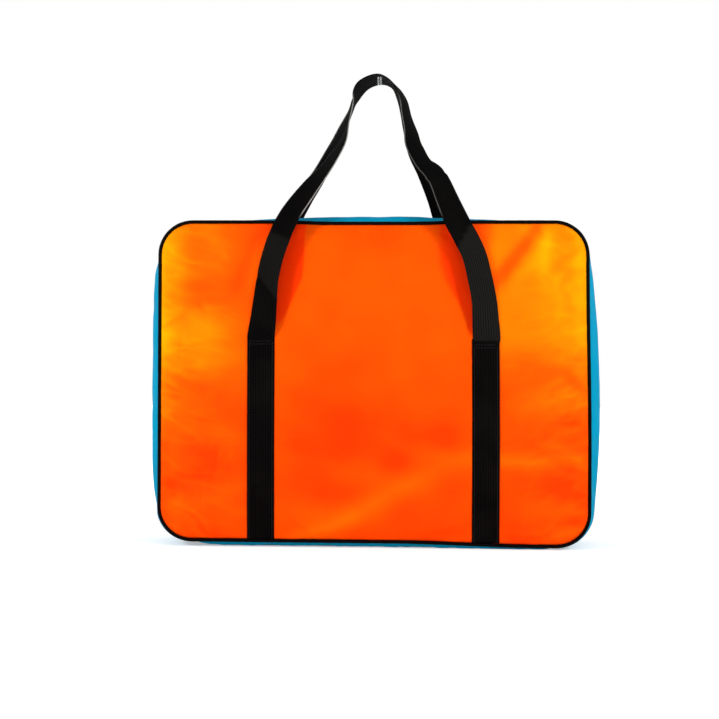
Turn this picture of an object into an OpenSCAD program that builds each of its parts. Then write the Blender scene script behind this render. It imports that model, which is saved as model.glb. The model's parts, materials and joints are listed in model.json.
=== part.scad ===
// Zipped carry bag packed with a round-net lawn game: a five-part rim, five legs,
// a net, three balls and a hand pump.
// The bag stands on its bottom, its front faces -Y, and the origin is on the ground
// under the middle of the bag.

/* [Bag] */
// Width of the bag between the piping centre lines
bag_w = 600; // [580:2:660]
// Height of the bag between the piping centre lines
bag_h = 446; // [420:2:500]
// Depth of the bag between its front and back seams
bag_d = 110; // [108:1:124]
// Radius of the corners at the piping centre line
corner_r = 46; // [36:1:56]
// How far each face of the packed bag stands out at its middle
face_crown = 8; // [3:0.5:12]
// How far the side gussets stand out at mid height
side_bulge = 16; // [6:1:22]
// Height of the bottom piping above the ground
foot_h = 8; // [6.5:0.5:12]
// How far the top flaps puff up beside the zip
top_puff = 9; // [2:0.5:10]

/* [Fabric] */
// Thickness of the outer fabric
skin_t = 1.2; // [0.8:0.1:1.6]
// Thickness of the foam sheet behind each face
foam_t = 4; // [2:0.5:4.5]
// Thickness of the lining
lining_t = 0.8; // [0.5:0.1:1.1]
// Gap between pieces that lie on each other
lay_gap = 0.3; // [0.2:0.05:0.35]
// Radius of the piping cord
piping_r = 2.4; // [1.6:0.1:3]
// How far the foam stops short of the piping
foam_inset = 8; // [6:0.5:14]
// How far the lining stops short of the piping
lining_inset = 6; // [4:0.5:12]

/* [Base board] */
// Length of the board in the bottom of the bag
board_l = 430; // [360:5:440]
// Width of the board
board_w = 80; // [78:1:88]
// Thickness of the board
board_t = 3; // [2:0.5:4]

/* [Handles] */
// Width of the webbing
webbing_w = 38; // [30:1:42]
// Thickness of the webbing
webbing_t = 1.6; // [1.2:0.1:2]
// Distance from the bag's middle to each strap's middle
strap_x = 156.5; // [140:0.5:175]
// Height above the ground where the sewn part of each strap ends
stitch_h = 292; // [270:2:310]
// Height of the handle loops above the bag's top edge
loop_rise = 209; // [180:1:240]
// How far the free webbing bows out in front of its sewn end
bow = 11; // [10:0.5:14]

/* [Zip] */
// Length of the mouth that the zip closes
mouth_l = 464; // [420:2:480]
// Length of the fixed chain at each end of the mouth
zip_end_l = 20; // [18:0.5:21]
// Half width of the open slot in the fabric over the chain
slot_half = 9; // [7:0.5:11]
// Distance from the middle of the chain to each tape's outer edge
tape_reach = 16; // [13:0.5:20]
// Thickness of the zip tape
tape_t = 0.8; // [0.5:0.1:1]
// Distance between teeth on one row
tooth_pitch = 3; // [2.5:0.5:5]
// Height of the teeth
tooth_h = 2.4; // [2:0.1:3]
// Gap between the two rows, where the slider's bridge runs
row_gap = 1.8; // [1.6:0.1:2.4]
// Length of the slider
slider_l = 14; // [11:0.5:15]
// Width of the slider
slider_w = 9.6; // [9:0.2:11]
// Length of the pull tab
pull_l = 36; // [24:1:44]
// Width of the pull tab
pull_w = 8; // [6:0.5:9]

/* [Game pieces] */
// Diameter of the round rim at the middle of its tube
rim_d = 895; // [860:5:910]
// Outer diameter of the rim tube
rim_tube_d = 19; // [17:0.1:19]
// Wall of the rim tube
rim_wall = 1.8; // [1.4:0.1:2.4]
// Length of the spigot at one end of each rim section
spigot_l = 26; // [18:1:30]
// Diameter of a ball
ball_d = 90; // [82:0.5:92]
// Length of a leg
leg_l = 200; // [186:1:210]
// Diameter of a leg's head and foot
leg_head_d = 27; // [26:0.5:30]
// Length of a leg's cross sleeve
leg_sleeve_l = 50; // [40:1:50]
// Diameter of the rolled net
net_d = 80; // [60:1:88]
// Length of the rolled net
net_l = 240; // [180:5:280]
// Diameter of the pump barrel
pump_d = 32; // [26:1:36]
// Length of the pump barrel
pump_l = 150; // [120:2:160]
// Stroke of the pump plunger
pump_stroke = 90; // [70:2:100]

/* [Hidden] */
$fn = 48;

half_w = bag_w / 2;
half_h = bag_h / 2;
half_d = bag_d / 2;
mid_z = foot_h + half_h;
top_z = foot_h + bag_h;
straight_x = half_w - corner_r;
straight_z = half_h - corner_r;
seam_gap = 0.2;                                  // a sewn edge beside the piping
weld = 0.1;                                      // overlap that joins shapes of one piece
ground_cut = 2;                                  // the ground flattens this much of the bottom
gusset_half = half_d - piping_r - seam_gap;      // the band ends beside the piping
base_bulge = foot_h + ground_cut;
mouth_half = mouth_l / 2;

// ---- Shared shapes ----

// How far a face stands out from its seam plane
function crown(x, z) =
    face_crown * (1 - pow(x / half_w, 2)) * (1 - pow((z - mid_z) / half_h, 2));

// How far the bottom of the band hangs below the piping line
function bottom_bulge(x) = base_bulge * (1 - pow(abs(x) / straight_x, 16));

// Height of the bottom's outer surface, cut flat on the ground
function bottom_z(x, y) =
    max(0, foot_h - bottom_bulge(x) * sqrt(1 - pow(y / gusset_half, 2)));

// A closed solid between two grids of points with the same rows and columns
module slab(outer, inner, flip = false) {
    rows = len(outer);
    cols = len(outer[0]);
    shift = rows * cols;
    function at(i, j) = i * cols + j;
    skin = [for (i = [0:rows - 2], j = [0:cols - 2])
        each [[at(i, j), at(i, j + 1), at(i + 1, j + 1)],
              [at(i, j), at(i + 1, j + 1), at(i + 1, j)]]];
    under = [for (f = skin) [for (k = [2:-1:0]) f[k] + shift]];
    rim = concat(
        [for (i = [0:rows - 1]) at(i, 0)],
        [for (j = [1:cols - 1]) at(rows - 1, j)],
        [for (i = [rows - 2:-1:0]) at(i, cols - 1)],
        [for (j = [cols - 2:-1:1]) at(0, j)]);
    n = len(rim);
    wall = [for (k = [0:n - 1]) let (a = rim[k], b = rim[(k + 1) % n])
        each [[a, b, b + shift], [a, b + shift, a + shift]]];
    all = concat(skin, under, wall);
    polyhedron([for (r = outer) each r, for (r = inner) each r],
        flip ? [for (f = all) [f[2], f[1], f[0]]] : all);
}

// ---- Faces of the bag ----

// Columns across a face: its corner arcs in even angles, and even steps between them
function face_columns(half, r, arc_steps, mid_steps) = concat(
    [for (i = [arc_steps:-1:0]) -(half - r + r * sin(90 * i / arc_steps))],
    [for (i = [1:mid_steps - 1]) (half - r) * (2 * i / mid_steps - 1)],
    [for (i = [0:arc_steps]) half - r + r * sin(90 * i / arc_steps)]);

// Points of one surface of a face layer, a given depth behind its outer skin
function face_grid(side, inset, depth, arc_steps, mid_steps, rows) =
    let (a = half_w - inset, b = half_h - inset, r = corner_r - inset)
    [for (x = face_columns(a, r, arc_steps, mid_steps))
        let (over = max(0, abs(x) - (a - r)),
             reach = b - r + sqrt(max(0, r * r - over * over)))
        [for (j = [0:rows]) let (z = mid_z + reach * (2 * j / rows - 1))
            [x, side * (half_d - depth + crown(x, z)), z]]];

// One layer of the front (-1) or back (1) face
module face_layer(side, inset, depth, thick, arc_steps, mid_steps, rows) {
    slab(face_grid(side, inset, depth, arc_steps, mid_steps, rows),
        face_grid(side, inset, depth + thick, arc_steps, mid_steps, rows),
        side > 0);
}

foam_depth = skin_t + lay_gap;
lining_depth = foam_depth + foam_t + lay_gap;

module panel(side) {
    color("OrangeRed") face_layer(side, piping_r + seam_gap, 0, skin_t, 6, 6, 10);
}

module foam(side) {
    color("WhiteSmoke") face_layer(side, foam_inset, foam_depth, foam_t, 3, 6, 10);
}

module lining(side) {
    color("DimGray") face_layer(side, lining_inset, lining_depth, lining_t, 3, 6, 10);
}

// ---- Piping ----

module piping(side) {
    color("Black") translate([0, side * half_d, mid_z]) {
        for (s = [-1, 1]) {
            translate([s * half_w, 0, -straight_z]) cylinder(h = 2 * straight_z, r = piping_r);
            translate([-straight_x, 0, s * half_h]) rotate([0, 90, 0])
                cylinder(h = 2 * straight_x, r = piping_r);
        }
        for (q = [0:3]) translate([(q == 0 || q == 3 ? 1 : -1) * straight_x, 0,
                (q < 2 ? 1 : -1) * straight_z])
            rotate([90, 0, 0]) rotate([0, 0, 90 * q])
                rotate_extrude(angle = 90) translate([corner_r, 0]) circle(r = piping_r);
    }
}

// ---- Gusset: the band round the sides and the bottom ----

arc_steps = 6;
side_steps = 8;
bottom_steps = 12;
band_steps = 12;

side_end_bulge = side_bulge * (1 - pow(straight_z / half_h, 4));
bottom_end_bulge = bottom_bulge(straight_x * 0.98);

// A station of the band: [x, z, normal x, normal z, bulge]
function arc_station(cx, cz, a, bulge) =
    [cx + corner_r * cos(a), cz + corner_r * sin(a), cos(a), sin(a), bulge];

// The left half of the band, from the mouth round to the middle of the bottom
half_band = concat(
    [for (i = [0:arc_steps]) arc_station(-straight_x, mid_z + straight_z,
        90 + 90 * i / arc_steps, side_end_bulge * i / arc_steps)],
    [for (i = [1:side_steps - 1]) let (t = 1 - 2 * i / side_steps)
        [-half_w, mid_z + straight_z * t, -1, 0,
            side_bulge * (1 - pow(t * straight_z / half_h, 4))]],
    [for (i = [0:arc_steps]) let (s = i / arc_steps)
        arc_station(-straight_x, mid_z - straight_z, 180 + 90 * s,
            side_end_bulge * (1 - s) + bottom_end_bulge * s)],
    [for (i = [1:bottom_steps / 2]) let (x = -straight_x * cos(90 * i / (bottom_steps / 2)))
        [x, foot_h, 0, -1, bottom_bulge(x)]]);

band = concat(half_band,
    [for (i = [len(half_band) - 2:-1:0]) let (s = half_band[i])
        [-s[0], s[1], -s[2], s[3], s[4]]]);

// Points across the band at every station, a given depth behind its outer skin
function band_grid(depth) = [for (s = band) [for (j = [0:band_steps])
    let (a = 180 * j / band_steps, out = s[4] * sin(a) - depth)
    [s[0] + s[2] * out, -gusset_half * cos(a), max(depth, s[1] + s[3] * out)]]];

module gusset() {
    color("DeepSkyBlue") slab(band_grid(0), band_grid(skin_t), true);
}

// The fixed top of the band beside one end of the mouth, slotted for the chain
module gusset_end(side) {
    inner = mouth_half + lay_gap;
    outer = straight_x - lay_gap;
    slot_end = mouth_half + zip_end_l + lay_gap;
    color("DeepSkyBlue") mirror([side < 0 ? 1 : 0, 0, 0])
        translate([0, 0, top_z - skin_t]) linear_extrude(skin_t) difference() {
            translate([inner, -gusset_half]) square([outer - inner, 2 * gusset_half]);
            translate([inner - 1, -slot_half]) square([slot_end - inner + 1, 2 * slot_half]);
        }
}

// ---- Base board ----

board_z = bottom_z(board_l / 2, board_w / 2) + skin_t + lay_gap;
floor_z = board_z + board_t + lay_gap;           // what is packed stands on this height
board_corner = 12;

module base_board() {
    color("DarkSlateGray") translate([0, 0, board_z]) linear_extrude(board_t) {
        square([board_l - 2 * board_corner, board_w], center = true);
        square([board_l, board_w - 2 * board_corner], center = true);
        for (sx = [-1, 1], sy = [-1, 1])
            translate([sx * (board_l / 2 - board_corner), sy * (board_w / 2 - board_corner)])
                circle(r = board_corner);
    }
}

// ---- Top flaps and their hinge lines ----

flap_gap = 0.8;
flap_edge_y = half_d - piping_r - flap_gap;      // the flap turns just behind the piping
flap_half_l = mouth_half - lay_gap;
flap_cols = 16;
flap_rows = 9;

// Height of the puffed flap above the piping line
function puff(x, u) = top_puff * (1 - pow(x / mouth_half, 2)) * pow(sin(180 * u), 2);

function flap_grid(side, depth) = [for (i = [0:flap_cols])
    let (x = flap_half_l * (2 * i / flap_cols - 1))
    [for (j = [0:flap_rows]) let (u = j / flap_rows)
        [x, side * (flap_edge_y + (slot_half - flap_edge_y) * u),
            top_z - depth + puff(x, u)]]];

module top_flap(side) {
    color("DeepSkyBlue") slab(flap_grid(side, 0), flap_grid(side, skin_t), side < 0);
}

// ---- Zip ----

tape_top = top_z - skin_t - lay_gap;
tape_z = tape_top - tape_t;
chain_z = tape_top - tape_t / 2;                 // middle height of the chain
tooth_reach = 1.1;
spine_w = 1.4;
spine_y = row_gap / 2 + tooth_reach;             // where the teeth join their spine
tape_inner_y = spine_y + spine_w;                // outer side of the spine, on the tape
tooth_w = tooth_pitch / 2;
tape_tuck = 4;                                   // tape under the fabric past the flat top
stop_l = 1.6;                                    // length of the stop at each end of the chain
stop_gap = 0.1;
stop_rise = 0.3;

// One row of teeth on its spine, from x = start to start + length
module teeth_row(side, start, length) {
    count = floor(length / tooth_pitch);
    lead = (length - (count - 0.5) * tooth_pitch) / 2;
    comb = concat([[start, tape_inner_y], [start, spine_y]],
        [for (i = [0:count - 1]) let (x = start + lead + i * tooth_pitch)
            each [[x, spine_y], [x, row_gap / 2], [x + tooth_w, row_gap / 2],
                  [x + tooth_w, spine_y]]],
        [[start + length, spine_y], [start + length, tape_inner_y]]);
    translate([0, 0, chain_z - tooth_h / 2]) linear_extrude(tooth_h)
        scale([1, side, 1]) polygon(comb);
}

module zip_tape(side) {
    color("Black") translate([-flap_half_l, side > 0 ? tape_inner_y : -tape_reach, tape_z])
        cube([2 * flap_half_l, tape_reach - tape_inner_y, tape_t]);
}

module zip_teeth(side) {
    color("DimGray") teeth_row(side, -flap_half_l, 2 * flap_half_l);
}

// Tape that carries the chain on past one end of the mouth
module zip_end(side) {
    inner = mouth_half + lay_gap;
    join = mouth_half + zip_end_l;
    outer = straight_x + tape_tuck;
    color("Black") mirror([side < 0 ? 1 : 0, 0, 0])
        translate([0, 0, tape_z]) linear_extrude(tape_t) difference() {
            translate([inner, -tape_reach]) square([outer - inner, 2 * tape_reach]);
            translate([inner - 1, -tape_inner_y]) square([join - inner + 1, 2 * tape_inner_y]);
        }
}

module zip_end_teeth() {
    color("DimGray") for (end = [-1, 1], side = [-1, 1])
        teeth_row(side, end > 0 ? mouth_half + lay_gap : -mouth_half - zip_end_l + stop_l,
            zip_end_l - lay_gap - stop_l);
}

// A stop across both rows at each end of the chain
module zip_stops() {
    color("Silver") for (end = [-1, 1])
        translate([end * (mouth_half + zip_end_l - (stop_l - stop_gap) / 2), 0, chain_z])
            cube([stop_l - stop_gap, 2 * (tape_inner_y - stop_gap), tooth_h + 2 * stop_rise],
                center = true);
}

// ---- Slider and pull ----

park_x = mouth_half + (zip_end_l - stop_l) / 2;  // the slider rests in mid fixed chain
plate_t = 1.2;
chain_clear = lay_gap;
plate_z = chain_z + tooth_h / 2 + chain_clear;   // underside of the top plate
foot_z = chain_z - tooth_h / 2 - chain_clear;    // top of the bottom plate
plate_cut = 1.6;
nose_l = 2;
nose_w = 1.2;
bridge_w = row_gap - 2 * chain_clear;
bridge_l = 3;
bridge_inset = 1;
flange_w = slider_w / 2 - tape_inner_y - chain_clear;
lug_w = 1.4;
lug_r = 1.9;
pin_r = 0.8;
pin_clear = 0.1;
pull_t = 1.6;
pull_gap = 0.2;
pull_eye_r = 1.8;
pin_z = plate_z + plate_t + pull_eye_r + pull_gap;
lug_y = pull_w / 4 + pull_gap;                   // inner side of each lug

// Outline of a slider plate, narrower at its leading end
module plate_outline() {
    half_l = slider_l / 2;
    edge = slider_w / 2;
    polygon([[-half_l, plate_cut - edge], [plate_cut - half_l, -edge],
        [half_l - nose_l, -edge], [half_l, nose_w - edge], [half_l, edge - nose_w],
        [half_l - nose_l, edge], [plate_cut - half_l, edge], [-half_l, edge - plate_cut]]);
}

module zip_slider() {
    flange_l = slider_l - plate_cut - nose_l;
    lug_foot = plate_z + plate_t / 2;
    color("Gray") translate([-park_x, 0, 0]) {
        translate([0, 0, plate_z]) linear_extrude(plate_t) plate_outline();
        translate([0, 0, foot_z - plate_t]) linear_extrude(plate_t) plate_outline();
        translate([bridge_inset - slider_l / 2, -bridge_w / 2, foot_z - weld])
            cube([bridge_l, bridge_w, plate_z - foot_z + 2 * weld]);
        for (s = [-1, 1]) translate([plate_cut - slider_l / 2, s * (slider_w - flange_w) / 2, 0]) {
            translate([0, -flange_w / 2, tape_top + chain_clear])
                cube([flange_l, flange_w, plate_z - tape_top - chain_clear + weld]);
            translate([0, -flange_w / 2, foot_z - weld])
                cube([flange_l, flange_w, tape_z - chain_clear - foot_z + weld]);
        }
        for (s = [-1, 1]) translate([0, s * (lug_y + lug_w / 2), 0]) {
            translate([0, lug_w / 2, pin_z]) rotate([90, 0, 0]) cylinder(h = lug_w, r = lug_r);
            translate([-lug_r, -lug_w / 2, lug_foot]) cube([2 * lug_r, lug_w, pin_z - lug_foot]);
        }
        translate([0, lug_y + weld, pin_z]) rotate([90, 0, 0])
            cylinder(h = 2 * (lug_y + weld), r = pin_r);
    }
}

pull_hole_r = 1.8;
pull_neck = 6;                                   // length of the pull's narrow end

module zip_pull() {
    tip_x = pull_w / 2 - pull_l;                 // middle of the rounded tip
    color("Black") translate([-park_x, 0, pin_z]) difference() {
        union() {
            rotate([90, 0, 0]) cylinder(h = pull_w / 2, r = pull_eye_r, center = true);
            translate([-pull_neck, -pull_w / 4, -pull_t / 2]) cube([pull_neck, pull_w / 2, pull_t]);
            translate([tip_x, -pull_w / 2, -pull_t / 2])
                cube([1 - pull_neck - tip_x, pull_w, pull_t]);
            translate([tip_x, 0, -pull_t / 2]) cylinder(h = pull_t, r = pull_w / 2);
        }
        rotate([90, 0, 0]) cylinder(h = pull_w, r = pin_r + pin_clear, center = true);
        translate([tip_x, 0, -pull_t]) cylinder(h = 2 * pull_t, r = pull_hole_r);
    }
}

// ---- Straps sewn to the faces ----

strap_rows = 12;
strap_foot_z = foot_h + piping_r + seam_gap;
strap_head_z = stitch_h - lay_gap / 2;

// Distance from the bag's middle to the back of the webbing, which the face's crown
// carries along its inner edge
function strap_seat(z) = half_d + crown(strap_x - webbing_w / 2, z) + lay_gap;

function strap_grid(side, end, depth) = [for (s = [-1, 1])
    [for (j = [0:strap_rows])
        let (z = strap_foot_z + (strap_head_z - strap_foot_z) * j / strap_rows)
        [end * strap_x + s * webbing_w / 2, side * (strap_seat(z) + depth), z]]];

module sewn_strap(side, end) {
    color("Black") slab(strap_grid(side, end, webbing_t), strap_grid(side, end, 0), side > 0);
}

// ---- Handles ----

// Each row gives a place along the webbing's middle line: the share of strap_x, the
// share of the way out from the middle of the bag, the height (0 at the stitching,
// 1 at the bag's top edge, 2 at the top of the loop) and the twist in degrees.
front_route = [
    [-0.98, 0.86, 0.15, 14], [-0.96, 0.92, 0.32, 25], [-0.935, 0.955, 0.49, 30],
    [-0.9, 0.98, 0.665, 32], [-0.84, 1, 0.84, 34], [-0.73, 1, 1.04, 40],
    [-0.565, 0.9, 1.22, 50], [-0.425, 0.75, 1.355, 65], [-0.34, 0.62, 1.455, 73],
    [-0.275, 0.49, 1.545, 80], [-0.23, 0.34, 1.66, 85], [-0.193, 0.13, 1.785, 88],
    [-0.173, 0.02, 1.88, 90], [-0.115, 0, 1.95, 90], [0.03, 0, 2, 90],
    [0.16, 0, 1.945, 90], [0.255, 0.04, 1.85, 88], [0.31, 0.18, 1.735, 84],
    [0.34, 0.39, 1.62, 76], [0.37, 0.54, 1.51, 68], [0.43, 0.68, 1.4, 60],
    [0.57, 0.86, 1.265, 48], [0.665, 0.945, 1.135, 38], [0.745, 1, 0.995, 31],
    [0.87, 0.985, 0.74, 31], [0.94, 0.965, 0.53, 29], [0.975, 0.92, 0.32, 24],
    [0.993, 0.86, 0.15, 14]];
back_route = [
    [-0.985, 0.87, 0.17, 15], [-0.955, 0.94, 0.45, 27], [-0.9, 0.985, 0.73, 31],
    [-0.805, 1, 1.03, 39.5], [-0.68, 0.92, 1.22, 47], [-0.55, 0.76, 1.38, 61],
    [-0.42, 0.57, 1.545, 75], [-0.315, 0.35, 1.69, 84], [-0.222, 0.11, 1.8, 88],
    [-0.17, 0.02, 1.885, 90], [-0.08, 0, 1.97, 90], [0.032, 0, 2, 90],
    [0.13, 0, 1.975, 90], [0.185, 0.02, 1.9, 90], [0.235, 0.07, 1.79, 88],
    [0.27, 0.22, 1.68, 83], [0.35, 0.48, 1.53, 73], [0.445, 0.71, 1.39, 59],
    [0.55, 0.9, 1.22, 46], [0.645, 0.985, 1.05, 36], [0.78, 1, 0.82, 31],
    [0.9, 0.97, 0.54, 29], [0.965, 0.91, 0.27, 20], [0.993, 0.84, 0.12, 11]];
route_steps = 2;

strap_mid_y = strap_seat(stitch_h) + webbing_t / 2;
loop_gap = 1.2;
loop_mid_y = (webbing_w + loop_gap) / 2;         // the loops lie side by side at the top
bow_y = strap_mid_y + bow;
handle_foot_z = stitch_h + lay_gap / 2;
foot_rise = 3;                                   // straight length above the stitching

function route_z(s) = s < 1 ? stitch_h + (top_z - stitch_h) * s : top_z + loop_rise * (s - 1);

function route_point(side, p) = [strap_x * p[0],
    side * (loop_mid_y + (bow_y - loop_mid_y) * p[1]), route_z(p[2]), p[3]];

function foot_point(side, end, rise) =
    [end * strap_x, side * strap_mid_y, handle_foot_z + rise, 0];

// The webbing's middle line from one sewn end to the other, with its twist
function handle_line(side, route) = concat(
    [foot_point(side, -1, 0), foot_point(side, -1, foot_rise)],
    [for (p = route) route_point(side, p)],
    [foot_point(side, 1, foot_rise), foot_point(side, 1, 0)]);

// A smooth curve through a list of points
function smooth(p, steps) = [for (i = [0:len(p) - 2], k = [0:steps - 1])
    let (a = p[max(i - 1, 0)], b = p[i], c = p[i + 1], d = p[min(i + 2, len(p) - 1)],
         t = k / steps)
    ((2 * b) + (c - a) * t + (2 * a - 5 * b + 4 * c - d) * t * t
        + (3 * b - a - 3 * c + d) * t * t * t) / 2];

function unit(v) = v / norm(v);

// The four corners of the webbing's section at point i of its line
function section(line, i, side) =
    let (last = len(line) - 1,
         here = [line[i][0], line[i][1], line[i][2]],
         along = i == 0 ? [0, 0, 1] : i == last ? [0, 0, -1] :
            let (d = line[i + 1] - line[i - 1]) unit([d[0], d[1], d[2]]),
         flat = unit([along[2], 0, -along[0]]),
         lean = unit(cross(along, flat)),
         tilt = line[i][3],
         wide = flat * cos(tilt) + lean * sin(tilt) * (lean[1] * side > 0 ? 1 : -1),
         thick = cross(wide, along))
    [here - wide * webbing_w / 2, here + wide * webbing_w / 2, thick * webbing_t / 2];

module handle(side, route) {
    knots = handle_line(side, route);
    line = concat(smooth(knots, route_steps), [knots[len(knots) - 1]]);
    cuts = [for (i = [0:len(line) - 1]) section(line, i, side)];
    color("Black") slab([for (c = cuts) [c[0] + c[2], c[1] + c[2]]],
        [for (c = cuts) [c[0] - c[2], c[1] - c[2]]]);
}

// ---- Game pieces packed in the bag ----

rim_r = rim_d / 2;
tube_r = rim_tube_d / 2;
rim_pitch = rim_tube_d + lay_gap;
rim_centre_z = floor_z + tube_r + rim_r;         // the sections lie like bowls on the board
rim_half_angle = 35.9;                           // five sections make the full circle
bore_r = tube_r - rim_wall;
spigot_clear = 0.2;
spigot_r = bore_r - spigot_clear;
spigot_angle = spigot_l / rim_r * 180 / PI;
plug_angle = 1.5;                                // stretch of tube that holds the spigot

// A round bar bent in the XZ plane, between two angles from straight down
module ring_stretch(from, to, bar_r) {
    rotate([90, 0, 0]) rotate([0, 0, from - 90])
        rotate_extrude(angle = to - from, $fn = 240)
            translate([rim_r, 0]) circle(r = bar_r, $fn = 48);
}

// A tube open at one end as a socket, plugged at the other with a spigot
module rim_section(i) {
    color("Black") translate([0, (i - 3) * rim_pitch, rim_centre_z]) difference() {
        union() {
            ring_stretch(-rim_half_angle, rim_half_angle, tube_r);
            ring_stretch(rim_half_angle - plug_angle / 2, rim_half_angle + spigot_angle, spigot_r);
        }
        ring_stretch(-rim_half_angle - plug_angle, rim_half_angle - plug_angle, bore_r);
    }
}

ball_r = ball_d / 2;
ball_orbit = rim_r - tube_r - ball_r - lay_gap;  // distance from the rim's centre
ball_step = 2 * asin((ball_d + lay_gap) / 2 / ball_orbit);
valve_r = 2.5;
valve_depth = 4;

module ball(i) {
    a = (i - 2) * ball_step;
    color("Yellow") translate([ball_orbit * sin(a), 0, rim_centre_z - ball_orbit * cos(a)])
        difference() {
            sphere(r = ball_r);
            translate([0, 0, ball_r - valve_depth]) cylinder(h = valve_depth + 1, r = valve_r);
        }
}

// Legs lie along X across the two outer balls, in pairs laid head to foot
head_r = leg_head_d / 2;
leg_y = (leg_sleeve_l / 2 + head_r + lay_gap) / 2;
head_x = leg_l / 2 - head_r;
outer_ball_x = ball_orbit * sin(ball_step);
outer_ball_z = rim_centre_z - ball_orbit * cos(ball_step);
leg_z = outer_ball_z + sqrt(pow(ball_r + head_r + lay_gap, 2) - pow(outer_ball_x - head_x, 2));
leg_top_r = 10;
leg_tip_r = 8.5;
leg_collar_l = 26;
leg_collar_t = 1.5;
foot_l = 24;
foot_wall = 4;
foot_clear = 0.2;
rim_fit = 0.2;

// Place of leg i: in pairs side by side, then one on top
module place_leg(i) {
    side = i % 2 == 1 ? -1 : 1;
    layer = floor((i - 1) / 2);
    translate([0, side * leg_y, leg_z + layer * (leg_head_d + lay_gap)])
        rotate([0, 0, side < 0 ? 0 : 180]) children();
}

module leg(i) {
    shank_x = -leg_l / 2 + foot_wall;
    color("Goldenrod") place_leg(i) difference() {
        union() {
            translate([shank_x, 0, 0]) rotate([0, 90, 0])
                cylinder(h = head_x - shank_x, r1 = leg_tip_r, r2 = leg_top_r);
            translate([head_x - leg_collar_l, 0, 0]) rotate([0, 90, 0])
                cylinder(h = leg_collar_l, r = leg_top_r + leg_collar_t);
            translate([head_x, 0, 0]) rotate([90, 0, 0])
                cylinder(h = leg_sleeve_l, r = head_r, center = true);
        }
        translate([head_x, 0, 0]) rotate([90, 0, 0])
            cylinder(h = leg_sleeve_l + 2, r = tube_r + rim_fit, center = true);
    }
}

module leg_feet() {
    grip = foot_l - foot_wall;
    taper = (leg_top_r - leg_tip_r) * grip / (head_x + leg_l / 2 - foot_wall);
    color("DimGray") for (i = [1:5]) place_leg(i) translate([-leg_l / 2, 0, 0])
        rotate([0, 90, 0]) difference() {
            cylinder(h = foot_l, r = head_r);
            translate([0, 0, foot_wall - foot_clear]) cylinder(h = grip + foot_clear + 1,
                r = leg_tip_r + taper + foot_clear);
        }
}

// The rolled net stands on the socket ends of the rim sections
net_r = net_d / 2;
net_inset = 24;                                  // from the roll to the side seam
net_x = net_r + net_inset - half_w;
net_z = rim_centre_z - (rim_r - tube_r) * cos(rim_half_angle) + lay_gap;
tie_h = 12;
tie_t = 1.8;
waist = 3;                                       // how far the ties draw the roll in
net_bulge = 14;                                  // from a tie's middle to the full roll
net_end_l = 8;
net_end_r = 6;

module net_roll() {
    step = net_l / 4;
    color("Gold") translate([net_x, 0, net_z]) rotate_extrude() polygon(concat(
        [[0, 0], [net_r - net_end_r, 0], [net_r, net_end_l]],
        [for (n = [1, 3]) each [[net_r, n * step - net_bulge],
            [net_r - waist, n * step - tie_h / 2], [net_r - waist, n * step + tie_h / 2],
            [net_r, n * step + net_bulge]]],
        [[net_r, net_l - net_end_l], [net_r - net_end_r, net_l], [0, net_l]]));
}

module net_ties() {
    inner_r = net_r - waist + lay_gap;
    band_h = tie_h - 1;
    color("Black") for (n = [1, 3])
        translate([net_x, 0, net_z + n * net_l / 4 - band_h / 2]) difference() {
            cylinder(h = band_h, r = inner_r + tie_t);
            translate([0, 0, -1]) cylinder(h = band_h + 2, r = inner_r);
        }
}

// The pump stands on the rim sections at the other side
pump_r = pump_d / 2;
pump_x = 196;
pump_flange = 1.5;
pump_foot_x = pump_x + pump_r + pump_flange;
pump_z = rim_centre_z - sqrt(pow(rim_r - tube_r, 2) - pow(pump_foot_x, 2)) + lay_gap;
pump_wall = 2.5;
pump_bore_r = pump_r - pump_wall;
pump_base_t = 8;
cap_rise = 6;
cap_cone = 4;
cap_plug = 8;                                    // how deep the cap reaches into the barrel
rod_r = 4;
rod_clear = 0.1;
piston_h = 10;
piston_clear = 0.1;
piston_rest = 1;                                 // under the piston when it is pushed in
collar_r = 6.5;                                  // a collar on the rod ends the stroke
grip_r = 8;
grip_l = 62;
grip_neck = 6;
needle_x = pump_r + 4;                           // from the pump's middle to its needle
needle_z = 52;
needle_l = 40;
needle_r = 2;
needle_tip_l = 18;
hub_l = 8;
clip_reach = 4;
clip_l = 9.5;                                    // each clip runs into the barrel's wall
clip_w = 8;
clip_h = 6;
clip_step = 24;

module pump_barrel() {
    color("Black") translate([pump_x, 0, pump_z]) difference() {
        union() {
            cylinder(h = pump_l, r = pump_r);
            cylinder(h = pump_base_t, r = pump_r + pump_flange);
            for (n = [0, 1])
                translate([-needle_x - clip_reach, -clip_w / 2, needle_z + 8 + n * clip_step])
                    cube([clip_l, clip_w, clip_h]);
        }
        translate([0, 0, pump_base_t]) cylinder(h = pump_l, r = pump_bore_r);
        translate([-needle_x, 0, needle_z - 2])
            cylinder(h = needle_l + 10, r = needle_r + rod_clear);
    }
}

module pump_cap() {
    color("Goldenrod") translate([pump_x, 0, pump_z + pump_l]) difference() {
        union() {
            cylinder(h = cap_rise, r = pump_r + pump_flange);
            translate([0, 0, cap_rise])
                cylinder(h = cap_cone, r1 = pump_r + pump_flange, r2 = pump_r - 4);
            translate([0, 0, -cap_plug]) cylinder(h = cap_plug, r = pump_bore_r - lay_gap / 2);
        }
        translate([0, 0, -cap_plug - 1])
            cylinder(h = cap_plug + cap_rise + cap_cone + 2, r = rod_r + rod_clear);
    }
}

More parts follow.
